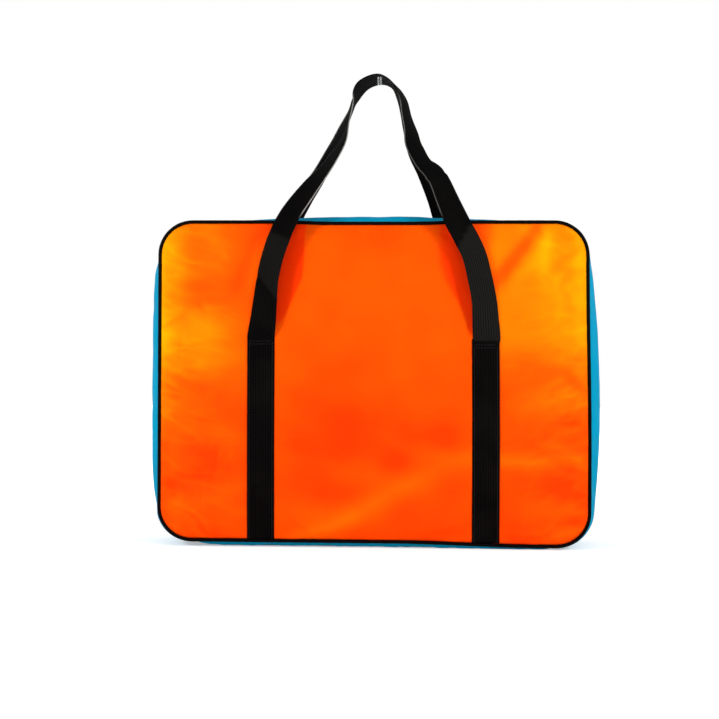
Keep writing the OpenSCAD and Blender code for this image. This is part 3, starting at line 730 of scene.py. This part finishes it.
def strapShade(x, z):
    # painted shadow: where the free webbing keeps the light off the cloth beside it, taken off
    # the front face's tone
    s = webShade
    left = np.minimum(-.1311 + .458 * (z - s["from"]), -.0975 + .055 * (z - .3771))
    right = .1315 - .0372 * ease(z - s["from"], .1)
    spread = .006 + .013 * ease(z - .32, .06)
    outer = s["outer"] - s["drawnIn"] * ease(z - .34, .1)
    inLeft = ease(left - x, .0035) * ease(x + outer, .01)
    inRight = ease((x - right) / spread + .5) * ease(outer - x, .01)
    return (inLeft * ease(z - .305, s["fade"])
            + s["rightShare"] * inRight * ease(z - .29, s["fade"]))


# painted light: the edge and corner values and up paint a highlight into the cloth's tone, and
# fold and wrinkle paint the light and shade of its folds; drift and mottle are the cloth's own
# uneven colour
clothTone = {  # 0 is the deepest orange and 1 the palest
    "middle": .35, "up": .075, "drift": .045, "mottle": .05,
    "leftEdge": .35, "leftCorner": .12,
    "rightEdge": .1, "rightCorner": .23, "rightCornerEdge": .11,
    "fold": 62,  # for each metre that a fold stands out
    "wrinkle": .1,
}


def toneAndPaintedLight(x, z, folds, slow, sharp, side):
    # the cloth is painted paler towards its upper corners, its side edges and its top, and deeper
    # low in the middle, as painted light; folds and wrinkles that stand out are painted paler and
    # sunken ones deeper; drift and mottle are the cloth's own uneven colour, and the front face
    # takes off the painted shadow beside its straps
    s = clothTone
    up = ease(z - .1, .22)
    high = ease(z - .215, .09)
    tone = s["middle"] + s["up"] * up + s["drift"] * slow
    tone += s["mottle"] * wander(points(x, z, 0), .045, 31)
    tone += s["leftEdge"] * np.exp(-np.maximum(0, x + .296) / .022) * ease(z - .06, .26)
    tone += s["leftCorner"] * ease(-x - .165, .07) * ease(z - .2, .08)
    tone += (s["rightCorner"] * ease(x - .148, .03)
             + s["rightCornerEdge"] * ease(x - .2, .08)) * high
    tone += s["rightEdge"] * ease(x - .272, .02) * up
    for px, pz, wide, tall, tilt, amount in paintedLightPatches:
        along, over = turned(x - px, z - pz, math.radians(tilt))
        tone += amount * np.exp(-(along / wide) ** 2 - (over / tall) ** 2)
    tone += s["fold"] * folds + s["wrinkle"] * sharp
    # the front face's tone loses the painted shadow beside its straps
    return np.clip(tone - webShade["depth"] * strapShade(x, z) * (side < 0), 0, 1)


panels = {side: addPanel(side) for side in words}
print("faces filled")


layers = {  # behind the faces
    "foam": {"inset": .0145, "depth": .0017, "thick": .0036, "rim": 0.0, "loose": 0.0},
    "lining": {"inset": .0034, "depth": .0062, "thick": .0005, "rim": .0045, "loose": .0006},
}


def addLayer(side, kind):
    s, word = layers[kind], words[side]
    grid = faceGrid(side, s["inset"], s["depth"], 8, 60, 90)
    piece = gridMesh(word + "." + kind + ".layer", settle(grid, side), flip=side < 0)
    co = coordinates(piece)
    edge = edgeDistance(co)
    rise = s["rim"] * (1 - ease(edge - .004, .01))
    loose = s["loose"] * (wander(co, .05, 4) + 1) * ease(edge, .03)
    co[:, 1] += side * (rise - loose)
    setCoordinates(piece, co)
    soften(piece)
    thicken(piece, s["thick"])
    dress(piece, kind)
    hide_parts(word + "_" + kind)
    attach(piece, "bag")


for side in words:
    for kind in layers:
        addLayer(side, kind)


pipe = {"cornerPoints": 16, "flatPoints": 120, "sidePoints": 90, "ripple": .00022, "sway": .0004}


def outline():
    # points once round a face's edge, from the lower left
    r = bag["cornerR"]
    a, b = halfW - r, halfH - r
    corners = [(-a, -b, 180), (a, -b, 270), (a, b, 0), (-a, b, 90)]
    places = []
    for k, (x, z, start) in enumerate(corners):
        t = np.radians(start + 90 * np.arange(pipe["cornerPoints"] + 1) / pipe["cornerPoints"])
        arc = np.stack([x + r * np.cos(t), midZ + z + r * np.sin(t)], 1)
        count = pipe["flatPoints"] if k % 2 == 0 else pipe["sidePoints"]
        nextX, nextZ, _ = corners[(k + 1) % 4]
        f = (np.arange(1, count) / count)[:, None]
        places += [arc, arc[-1] + f * np.array([nextX - x, nextZ - z])]
    return np.concatenate(places)


def addPiping(side):
    xz = outline()
    path = settle(points(xz[:, 0], side * halfD, xz[:, 1]), side)
    path[:, 1] += pipe["sway"] * wander(path, .04, 2 + side)
    size = pipeR + pipe["ripple"] * wander(path, .006, 6 + side)
    piece = tube(words[side] + "Piping", path, size, 14, closed=True)
    soften(piece)
    dress(piece, "piping")
    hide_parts(words[side] + "_piping")
    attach(piece, "bag")


for side in words:
    addPiping(side)
print("piping laid")


gusset = {
    "across": 26,
    "step": .0055,  # between stations round the band
    "pressure": 1.6,
    "spare": .012,
    "frames": 20,
    "cap": .0014,
    "fold": .0006,
    "out": .0004,
    "rightSwell": .0175,  # the right side swells lower down than the left
    "rightMiddle": .215,
    "rightHalf": .235,
    "topTuck": .08,  # the top corners are drawn in over this height
    "bottomBoxy": .5,  # 0 is a round bottom, towards 1 a square one
}
bandHalf = halfD - pipeR - .0002


def bandStations():
    # x, z, outward x, outward z and bulge of each station from the left of the mouth round
    r, a, b = bag["cornerR"], halfW - bag["cornerR"], halfH - bag["cornerR"]
    sideEnd = bag["sideBulge"] * (1 - (b / halfH) ** 4)
    bottomEnd = bag["bottomBulge"] * .3
    arcs = int(r * math.pi / 2 / gusset["step"])
    s = np.arange(arcs + 1) / arcs

    def corner(z, start, bulge):
        t = np.radians(start + 90 * s)
        c, k = np.cos(t), np.sin(t)
        return np.stack([-a + r * c, z + r * k, c, k, bulge], 1)

    count = int(2 * b / gusset["step"])
    t = 1 - 2 * np.arange(1, count) / count
    bulge = bag["sideBulge"] * (1 - (t * b / halfH) ** 4)
    upright = np.stack(np.broadcast_arrays(-halfW, midZ + b * t, -1, 0, bulge), 1)
    count = int(a / gusset["step"])
    x = -a + a * np.arange(1, count + 1) / count
    bulge = np.maximum(bottomEnd, bag["bottomBulge"] * (1 - np.abs(x / a) ** 16))
    level = np.stack(np.broadcast_arrays(x, bottomZ, 0, -1, bulge), 1)
    half = np.concatenate([corner(midZ + b, 90, sideEnd * s), upright,
                           corner(midZ - b, 180, sideEnd * (1 - s) + bottomEnd * s), level])
    other = half[-2::-1] * np.array([-1, 1, -1, 1, 1])
    z = np.clip(other[:, 1], midZ - b, midZ + b)
    swell = gusset["rightSwell"] * (1 - ((z - gusset["rightMiddle"]) / gusset["rightHalf"]) ** 2)
    onSide = ease(other[:, 0] - a, .012)
    other[:, 4] *= 1 + onSide * (swell / (bag["sideBulge"] * (1 - ((z - midZ) / halfH) ** 4)) - 1)
    rows = np.concatenate([half, other])
    rows[:, 4] *= .3 + .7 * ease(topZ - rows[:, 1], gusset["topTuck"])
    return rows


def addGusset():
    s = bandStations()
    angle = np.linspace(0, math.pi, gusset["across"] + 1)
    px, pz, ox, oz, bulge = s.T[..., None]
    boxy = 1 - gusset["bottomBoxy"] * np.maximum(0, -oz)
    out = bulge * np.abs(np.sin(angle)) ** boxy
    grid = points(px + ox * out, -bandHalf * np.cos(angle), pz + oz * out)
    piece = gridMesh("gussetBand", grid)
    rows, cols = out.shape
    index = np.arange(rows * cols).reshape(rows, cols)
    held = np.concatenate([index[:, 0], index[:, -1], index[0], index[-1],
                           index[np.abs(s[:, 0]) < .22][:, 6:-6].ravel()])
    simulate(piece, held, gusset, gusset["cap"])
    co = coordinates(piece)
    across = np.tile(np.sin(angle), rows)
    outward = np.repeat(points(s[:, 2], 0, s[:, 3]), cols, 0)
    fold = wander(co * np.array([1, .3, 1]), .05, 7) + .6 * wander(co, .02, 9)
    co += outward * ((gusset["fold"] * fold + gusset["out"]) * across)[:, None]
    share = ease(co[:, 1] + halfD, 2 * halfD)[:, None]
    co = settle(co, -1) * (1 - share) + settle(co, 1) * share
    co[:, 2] = np.maximum(co[:, 2], .0001)
    setCoordinates(piece, co)
    soften(piece)
    thicken(piece, bag["skin"])
    dress(piece, "blue_fabric")
    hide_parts("gusset")
    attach(piece, "bag")


addGusset()

ends = {"slot": .009, "slotReach": .0203, "crown": .0012, "steps": (17, 13)}


def addGussetEnd(sign):
    low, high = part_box("gusset_end_right")
    word = "right" if sign > 0 else "left"
    inner, outer, slot = low.x - .0002, high.x + .0006, ends["slot"]
    parts = []
    for yFrom, yTo, xFrom in ((-bandHalf, -slot, inner), (slot, bandHalf, inner),
                              (-slot, slot, low.x + ends["slotReach"])):
        x = np.linspace(xFrom, outer, ends["steps"][0])[:, None]
        y = np.linspace(yFrom, yTo, ends["steps"][1])
        z = high.z + ends["crown"] * np.cos(y / bandHalf * math.pi / 2)
        z = z - ends["crown"] * ease(x - low.x, high.x - low.x)
        parts.append(gridMesh("part", points(sign * x, y, z), flip=sign > 0))
    piece = joined("gussetEnd." + word, parts)
    thicken(piece, bag["skin"])
    dress(piece, "blue_fabric")
    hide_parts("gusset_end_" + word)
    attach(piece, "bag")


for sign in (-1, 1):
    addGussetEnd(sign)
print("gusset sewn in")


seam = {  # radius of the thread; length, gap and radius of stitches
    "radius": .00032,
    "flap": (.003, .001, .00032),
    "strap": (.0032, .0011, .0004),
    "inset": .003,  # from the edge of a strap
}
flap = {"columns": 110, "rows": 22, "puff": .0099, "fold": .0012, "stitches": (.93, .84)}
mouthHalf = flapHigh.x


def flapPoints(side, x, u):
    # u goes from 0 at the piping to 1 at the zip
    y = side * (-flapLow.y + (flapLow.y - flapHigh.y) * u)
    puff = flap["puff"] * (1 - (x / mouthHalf) ** 2) * np.sin(math.pi * u) ** 1.6
    fold = flap["fold"] * wander(points(x, y * .3, 0), .03, 12 + side)
    z = topZ + puff + fold * np.sin(math.pi * u) * (1 - (x / mouthHalf) ** 8)
    z = z - settled["topDip"] * betweenHandles(x) * (1 - u) ** 2 * .8
    return points(x, y, z)


def addFlap(side):
    word = words[side]
    u = np.linspace(0, 1, flap["rows"] + 1)
    x = np.linspace(-mouthHalf, mouthHalf, flap["columns"] + 1)
    piece = gridMesh("topFlap." + word, flapPoints(side, x[:, None], u), flip=side < 0)
    soften(piece)
    thicken(piece, bag["skin"])
    dress(piece, "blue_fabric")
    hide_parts("top_flap_" + word)
    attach(piece, "flap_" + word)
    rows = []
    for place in flap["stitches"]:
        line = flapPoints(side, x[1:-1], place)
        line[:, 2] += .0002
        rows += stitchRow(line, np.tile([0.0, 0, 1], (len(line), 1)), *seam["flap"])
    sewn = stitching("flapStitches." + word, rows, seam["radius"])
    dress(sewn, "blue_fabric", blueThread)
    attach(sewn, "flap_" + word)


for side in words:
    addFlap(side)
print("top flaps laid")


webbing = {
    "thick": .0016,
    "ribDepth": .00022,
    "pointsAcross": 45,
    "loopMidY": .0196,  # the two loops lie side by side at the top
    "bowY": .0737,
    "loopSteps": 8,
    "sewnStep": .004,
    "wave": .0006,
    "lowerStitch": .004,  # the right strap is sewn down this much lower
}

# each row: share of strapX, share outwards, height (0 at the stitching, 1 at the bag's top
# edge, 2 at the top of the loop) and twist in degrees
frontRoute = [
    (-.978, .88, .15, 14), (-.96, .95, .32, 25), (-.938, .975, .49, 30),
    (-.902, .98, .665, 31.3), (-.843, 1, .84, 30.8), (-.74, 1, 1.04, 34.9),
    (-.572, .9, 1.22, 45), (-.434, .75, 1.355, 58.5), (-.352, .62, 1.455, 64),
    (-.291, .49, 1.545, 70), (-.247, .34, 1.66, 82), (-.206, .13, 1.785, 88),
    (-.184, .02, 1.885, 97), (-.122, 0, 1.957, 96), (.028, 0, 2, 91),
    (.164, 0, 1.95, 84), (.246, .04, 1.855, 75), (.285, .18, 1.735, 70),
    (.324, .39, 1.62, 61), (.353, .54, 1.51, 51), (.427, .68, 1.4, 52),
    (.523, .775, 1.328, 44), (.58, .86, 1.265, 40), (.652, .945, 1.135, 33),
    (.735, 1, .995, 26), (.874, .985, .74, 27), (.933, .975, .53, 25.6),
    (.976, .94, .32, 23), (.99, .88, .15, 13)]
backRoute = [
    (-.98, .87, .17, 15), (-.966, .94, .45, 26.8), (-.926, .985, .73, 31.3),
    (-.841, 1, 1.03, 41), (-.703, .92, 1.22, 50.5), (-.552, .76, 1.38, 63.5),
    (-.431, .57, 1.545, 74), (-.33, .35, 1.69, 83), (-.244, .11, 1.8, 88),
    (-.19, .02, 1.885, 84), (-.092, 0, 1.972, 85), (.036, 0, 2, 90),
    (.14, 0, 1.975, 89), (.193, .02, 1.9, 86), (.238, .07, 1.79, 83),
    (.278, .22, 1.68, 78), (.345, .48, 1.53, 68), (.445, .71, 1.39, 60.8),
    (.557, .9, 1.22, 47), (.644, .985, 1.05, 36), (.778, 1, .82, 31),
    (.898, .97, .54, 29), (.964, .91, .27, 20), (.993, .84, .12, 11)]
loopRise = loopTop - topZ - .0008
strapMidY = halfD + crown(strapX - webWidth / 2, stitchZ) + .0003 + webbing["thick"] / 2


def loopStations(side, route):
    # middle, width direction and thickness direction of the free webbing
    foot = [(sign * strapX, side * strapMidY, stitchZ + h, 0)
            for sign, h in ((-1, .0003), (-1, .0033), (1, .0033), (1, .0003))]
    free = []
    for x, out, h, twist in route:
        z = stitchZ + (topZ - stitchZ) * h if h < 1 else topZ + loopRise * (h - 1)
        y = side * (webbing["loopMidY"] + (webbing["bowY"] - webbing["loopMidY"]) * out)
        free.append((strapX * x, y, z, twist))
    line = curveThrough(foot[:2] + free + foot[2:], webbing["loopSteps"])
    here, twist = line[:, :3], np.radians(line[:, 3])[:, None]
    along = unit(np.gradient(here, axis=0))
    along[0], along[-1] = (0, 0, 1), (0, 0, -1)
    flat = unit(points(along[:, 2], 0, -along[:, 0]))
    lean = unit(np.cross(along, flat))
    lean *= np.where(lean[:, 1:2] * side > 0, 1, -1)
    wide = flat * np.cos(twist) + lean * np.sin(twist)
    return here, wide, np.cross(wide, along)


def sewnStations(side, sign, finder, goes=1):
    # the same three for a sewn strap, upwards or, where goes is -1, downwards
    count = int((stitchZ - strapLow.z) / webbing["sewnStep"])
    here, depth = [], []
    for h in np.linspace(strapLow.z, stitchZ - .0004, count + 1)[::goes]:
        p = settle((sign * strapX, side * .05, h), side)
        tops = []
        for dx in (-.42, -.2, 0, .2, .42):
            hit = finder.ray_cast(Vector((p[0] + dx * webWidth, side * .2, p[2])),
                                  Vector((0, -side, 0)))
            tops.append(abs(hit[0].y) if hit[0] else halfD)
        depth.append(max(tops))
        here.append(p)
    here, depth = np.array(here), np.array(depth)
    for _ in range(4):
        depth[1:-1] = (depth[:-2] + 2 * depth[1:-1] + depth[2:]) / 4
    here[:, 1] = side * (depth + .0004 + webbing["thick"] / 2)
    wide = np.tile([goes, 0.0, 0.0], (len(here), 1))
    return here, wide, np.cross(wide, [0, 0, goes])


# x, z of both ends, width and depth of each fold across the front webbing
webFolds = [
    (.1, .525, .07, .509, .003, .0014), (.138, .456, .114, .414, .004, .001),
    (-.139, .435, -.112, .424, .004, .001), (-.14, .41, -.118, .43, .004, -.0008),
    (-.165, .38, -.134, .342, .0045, .001), (-.15, .35, -.128, .372, .004, -.0008),
    (.15, .33, .172, .318, .005, .0005)]

webLight = {  # on the stretches of the free webbing that catch the light
    "right": (.1358, .4537, .1164, .4178),  # x, z twice, of a line where it ends
    "leftTop": (-.126, .434, -.3),  # x, z and slope of such a line
    "leftBottom": (-.148, .361, -1.3),
    "leftShare": .6,
    "edges": (.455, .615),  # the edges show pale between these heights
    "backShare": .4,  # the back webbing's share of all this
}


def webTone(p):
    # painted highlight: where the free webbing catches the light, and how pale its edges show
    x, z = p[..., 0], p[..., 2]
    x0, z0, x1, z1 = webLight["right"]
    below = (x - x0) * (z1 - z0) - (z - z0) * (x1 - x0)
    right = ease(.5 - below * 8000) * ease(z - stitchZ + webbing["lowerStitch"], .003)
    high, low = (z - z0 - (x - x0) * slope
                 for x0, z0, slope in (webLight["leftTop"], webLight["leftBottom"]))
    left = ease(-high, .003) * ease(low, .004) * webLight["leftShare"]
    tone = np.where(x > 0, right * ease(x - .05, .02), left)
    first, last = webLight["edges"]
    above = ease(z - first, .012) * (1 - ease(z - last, .03))
    return tone, above * np.where(x < 0, 1.0, .25 + .25 * ease(z - .54, .03))


def swayed(here, thick):
    return here + thick * (webbing["wave"] * wander(here, .045, 21)[:, None])


def webbingMesh(name, here, wide, thick, folds):
    s = np.linspace(-.5, .5, webbing["pointsAcross"])
    rib = webbing["ribDepth"] * np.abs(np.cos(s * webRibs * math.pi))
    edge = np.clip((.5 - np.abs(s)) / .03, 0, 1) ** .5
    half = (webbing["thick"] / 2 + rib - webbing["ribDepth"]) * (.35 + .65 * edge)
    across, high = np.concatenate([[s, half], np.array([s, -half])[:, ::-1]], 1)
    section = (swayed(here, thick)[:, None] + wide[:, None] * (across * webWidth)[:, None]
               + thick[:, None] * high[:, None])
    push = np.zeros(section.shape[:2])
    for *line, width, depth in folds:
        along, off, length = besideLine(section[..., 0], section[..., 2], *line)
        past = np.maximum(0, np.abs(along - length / 2) - length / 2)
        push += depth * np.exp(-(off / width) ** 2) * np.exp(-(past / .006) ** 2)
    section = section + thick[:, None] * (push * np.sign(thick[:, 1:2]))[..., None]
    share = 1 if folds else webLight["backShare"]
    tone, edges = webTone(section)
    piece = gridMesh(name, section, wrapCols=True, caps=True)
    paint(piece, "tone", tone * share)
    paint(piece, "edgeHighlight", edges * share)
    paint(piece, "across", np.broadcast_to(across + .5, tone.shape))
    return piece


def addHandle(side, finder, loop):
    word = words[side]
    parts = [sewnStations(side, -1, finder), loop, sewnStations(side, 1, finder, -1)]
    here, wide, thick = (np.concatenate([p[k] for p in parts]) for k in range(3))
    piece = webbingMesh("webbing." + word, here, wide, thick, webFolds if side < 0 else [])
    dress(piece, "webbing")
    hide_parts("strap_%s_left" % word, "strap_%s_right" % word, "handle_" + word)
    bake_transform(piece)


def addStrapStitches(side, finder):
    # a row down each edge of a sewn strap, and two rows across where the loop begins
    half = webWidth / 2 - seam["inset"]
    rows = []
    for sign in (-1, 1):
        here, wide, thick = sewnStations(side, sign, finder)
        outward = thick * np.sign(thick[:, 1:2] * side)
        face = swayed(here, thick) + outward * (webbing["thick"] / 2 - webbing["ribDepth"] * .4)
        top = stitchZ - (webbing["lowerStitch"] if sign * side < 0 else .001)
        lower = face[:, 2] < top - .003
        for edge in (-half, half):
            rows += stitchRow((face + wide * edge)[lower], outward[lower], *seam["strap"])
        for drop in (.0032, .0068):
            k = int(np.argmin(np.abs(face[:, 2] - (top - drop))))
            line = face[k] + wide[k] * np.linspace(-half, half, 9)[:, None]
            rows += stitchRow(line, np.tile(outward[k], (9, 1)), *seam["strap"])
    piece = stitching("strapStitches." + words[side], rows, seam["strap"][2])
    dress(piece, "webbing", thread)
    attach(piece, "bag")


tack = {
    "x": (.003, .0067),
    "length": .003,
    "pitch": .0004,
    "thread": .00042,
    "lean": .034,
    "front": (-.12, .48),  # shares of the width that the bars reach to
    "back": (-.48, .4),
    "arch": (-.0001, .0003, .0004, .0003, -.0001),
}


def addTack(side, loop):
    # two pale bars of close stitches under the top of a loop
    word = words[side]
    here, wide, thick = loop
    here = swayed(here, thick)
    top = np.nonzero(here[:, 2] > topZ + loopRise * .9)[0]
    rows = []
    for x in np.array(tack["x"]) - tack["lean"] * side * webbing["loopMidY"]:
        k = top[np.argmin(np.abs(here[top, 0] - x))]
        down = thick[k] * -np.sign(thick[k, 2])
        along = unit(here[k + 1] - here[k])
        middle = here[k] + along * (x - here[k, 0]) + down * webbing["thick"] / 2
        across = wide[k] * np.sign(wide[k, 1])
        across = across - along * (across[0] + tack["lean"] * across[1]) / along[0]
        line = along * np.linspace(-.5, .5, 5)[:, None] * tack["length"]
        line = middle + line + down * np.array(tack["arch"])[:, None]
        first, last = (v * webWidth for v in tack[word])
        rows += [(line + across * step, np.tile(down, (5, 1)))
                 for step in np.arange(first, last, tack["pitch"])]
    piece = stitching("barTack." + word, rows, tack["thread"])
    dress(piece, "webbing", paleThread)
    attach(piece, "handle_" + word)


for side, route in ((-1, frontRoute), (1, backRoute)):
    finder = BVHTree.FromObject(panels[side], bpy.context.evaluated_depsgraph_get())
    loop = loopStations(side, route)
    addHandle(side, finder, loop)
    addStrapStitches(side, finder)
    addTack(side, loop)
print("handles sewn on")


tape = {"rows": 14, "columns": 160, "ribs": .0012, "lift": .00005}


def addTape(word):
    low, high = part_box("zip_tape_" + word)
    x = np.linspace(low.x, high.x, tape["columns"])[:, None]
    y = np.linspace(low.y, high.y, tape["rows"])
    z = high.z - tape["lift"] * (1 + np.abs(np.sin(y / tape["ribs"] * math.pi)))
    piece = gridMesh("zip.tape." + word, points(x, y, z), flip=True)
    thicken(piece, high.z - low.z - .0001)
    dress(piece, "zip_tape")
    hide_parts("zip_tape_" + word)
    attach(piece, "flap_" + word)


for side in words:
    addTape(words[side])


net = {
    "cord": .0011,
    "helices": 14,
    "turns": .97,
    "waist": .0024,
    "ties": (.25, .75),  # shares of the roll's length
    "tieHeight": .011,
    "layers": 4,  # turns of the net seen at its ends
    "sides": (.012, .988),  # where the thicker side cords lie
}
netLow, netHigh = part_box("net_roll")
netX = (netLow.x + netHigh.x) / 2
netR = (netHigh.x - netLow.x) / 2
netLength = netHigh.z - netLow.z


def netPoints(r, a, z):
    return points(netX + r * np.cos(a), r * np.sin(a), z)


def netRadius(share):
    # the roll is drawn in by its ties and rounded at its ends
    r = netR
    for t in net["ties"]:
        r = r - net["waist"] * np.exp(-(((share - t) * netLength) / .011) ** 4)
    end = np.minimum(share, 1 - share) * netLength
    return r - .006 * (1 - ease(end, .012)) ** 2


def netCore():
    share = np.linspace(0, 1, 61)[:, None]
    angle = np.linspace(0, 2 * math.pi, 73)[:-1]
    z = netLow.z + netLength * share
    inner = netRadius(share) - 2 * net["cord"]
    body = inner + .0007 * wander(points(np.cos(angle), np.sin(angle), z * 9), 1.1, 51)
    parts = [gridMesh("core", netPoints(body, angle, z), wrapCols=True)]
    for up in (False, True):  # the ends show the turns of the rolled net
        r = np.linspace(.0005, 1, 41)[:, None] * inner[0]
        turn = np.mod(r / (netR / net["layers"]) - angle / (2 * math.pi), 1)
        sink = .0022 * (1 - np.sin(math.pi * turn) ** .6)
        z = netHigh.z - sink if up else netLow.z + sink
        parts.append(gridMesh("end", netPoints(r, angle, z), wrapCols=True, flip=up))
    return joined("netCore", parts)


def netCords():
    t = np.linspace(.006, .994, 56)
    parts = []
    for way in (-1, 1):
        for k in range(net["helices"]):
            a = (2 * math.pi * (k / net["helices"] + way * net["turns"] * t)
                 + .1 * wander(points(t * 6, k, 0), 1.0, 60 + way))
            weave = np.cos(2 * math.pi * net["helices"] * net["turns"] * t * 2 + math.pi * k)
            r = netRadius(t) - net["cord"] * (1.25 - .25 * way * weave)
            line = netPoints(r, a, netLow.z + netLength * t)
            parts.append(tube("cord", line, net["cord"], 6))
    for place in net["sides"]:
        a = np.linspace(0, 2 * math.pi, 61)[:-1]
        r = netRadius(place) - net["cord"] * 1.5
        line = netPoints(r, a, netLow.z + netLength * place)
        parts.append(tube("edge", line, net["cord"] * 1.4, 7, closed=True))
    return joined("netCords", parts)


def netTies():
    parts = []
    for place in net["ties"]:
        a = np.linspace(0, math.radians(405), 110)[:, None] - .6
        lap = .0007 * ease(a - a[-1] + math.radians(70), math.radians(25))
        z = netLow.z + netLength * place + np.linspace(-.5, .5, 7) * net["tieHeight"]
        r = netR - net["waist"] + .0014 + lap
        parts.append(gridMesh("band", netPoints(r, a, z), flip=True))
    return joined("netTies", parts)


def addNetRoll():
    core = netCore()
    dress(core, "net_cord", netShade)
    cords = netCords()
    dress(cords, "net_cord")
    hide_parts("net_roll")
    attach(core, "bag")
    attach(cords, "bag")
    bands = netTies()
    thicken(bands, .0006)
    dress(bands, "tie_band")
    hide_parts("net_ties")
    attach(bands, "bag")


addNetRoll()
print("net rolled up")

studio = {
    "floor": 6.0,
    "nearGlow": .4,  # what the camera sees added to the floor by the bag
    "side": {"energy": 7.6, "size": .26, "place": (.96, -.9, .62)},
    "front": {"energy": 5, "size": 1.6, "place": (0, -2.6, 1.3)},
    "back": {"energy": 4, "size": 1.6, "place": (0, 2.6, 1.3)},
    "fill": .58,
}


def addFloor():
    half = studio["floor"]
    floor = newPiece("floor", [(-half, -half, 0), (half, -half, 0), (half, half, 0),
                               (-half, half, 0)], [(0, 1, 2, 3)])
    m, tree, shader = newMaterial("floor", Base_Color=(.86, .86, .86, 1), Roughness=.9,
                                  Specular_IOR_Level=0.0)
    path = put(tree, "LightPath")
    seen = sums(tree, "MAXIMUM", path.outputs["Is Camera Ray"], path.outputs["Is Glossy Ray"])
    away = put(tree, "VectorMath", operation="LENGTH",
               i0=put(tree, "TexCoord").outputs["Object"]).outputs["Value"]
    far = put(tree, "MapRange", interpolation_type="SMOOTHSTEP", Value=away,
              i1=.45, i2=1.3, i3=studio["nearGlow"], i4=1.0).outputs[0]
    glow = put(tree, "Emission", Color=(1, 1, 1, 1),
               Strength=sums(tree, "MULTIPLY", seen, far)).outputs[0]
    both = put(tree, "AddShader", i0=shader.outputs[0], i1=glow).outputs[0]
    tree.links.new(both, tree.nodes["Material Output"].inputs["Surface"])
    floor.data.materials.append(m)


def addWorld():
    world = bpy.data.worlds.new("studio")
    scene.world = world
    world.use_nodes = True
    tree = world.node_tree
    back = tree.nodes["Background"]
    path = put(tree, "LightPath")
    seen = sums(tree, "MAXIMUM", path.outputs["Is Camera Ray"],
                sums(tree, "MAXIMUM", path.outputs["Is Glossy Ray"],
                     path.outputs["Is Transmission Ray"]))
    back.inputs["Color"].default_value = (1, 1, 1, 1)
    tree.links.new(mapped(tree, seen, 0.0, 1.0, studio["fill"], 1.0), back.inputs["Strength"])


def addLamp(name, s, mirror=1):
    data = bpy.data.lights.new(name, "AREA")
    data.shape = "DISK"
    data.size, data.energy = s["size"], s["energy"]
    lamp = bpy.data.objects.new(name, data)
    x, y, z = s["place"]
    lamp.location = (x * mirror, y, z)
    aim = Vector((0, 0, .25)) - lamp.location
    lamp.rotation_euler = aim.to_track_quat("-Z", "Y").to_euler()
    scene.collection.objects.link(lamp)


addFloor()
addWorld()
addLamp("leftLamp", studio["side"], -1)
addLamp("rightLamp", studio["side"])
addLamp("frontLamp", studio["front"])
addLamp("backLamp", studio["back"])
scene.view_settings.view_transform = "Standard"
print("studio lit")
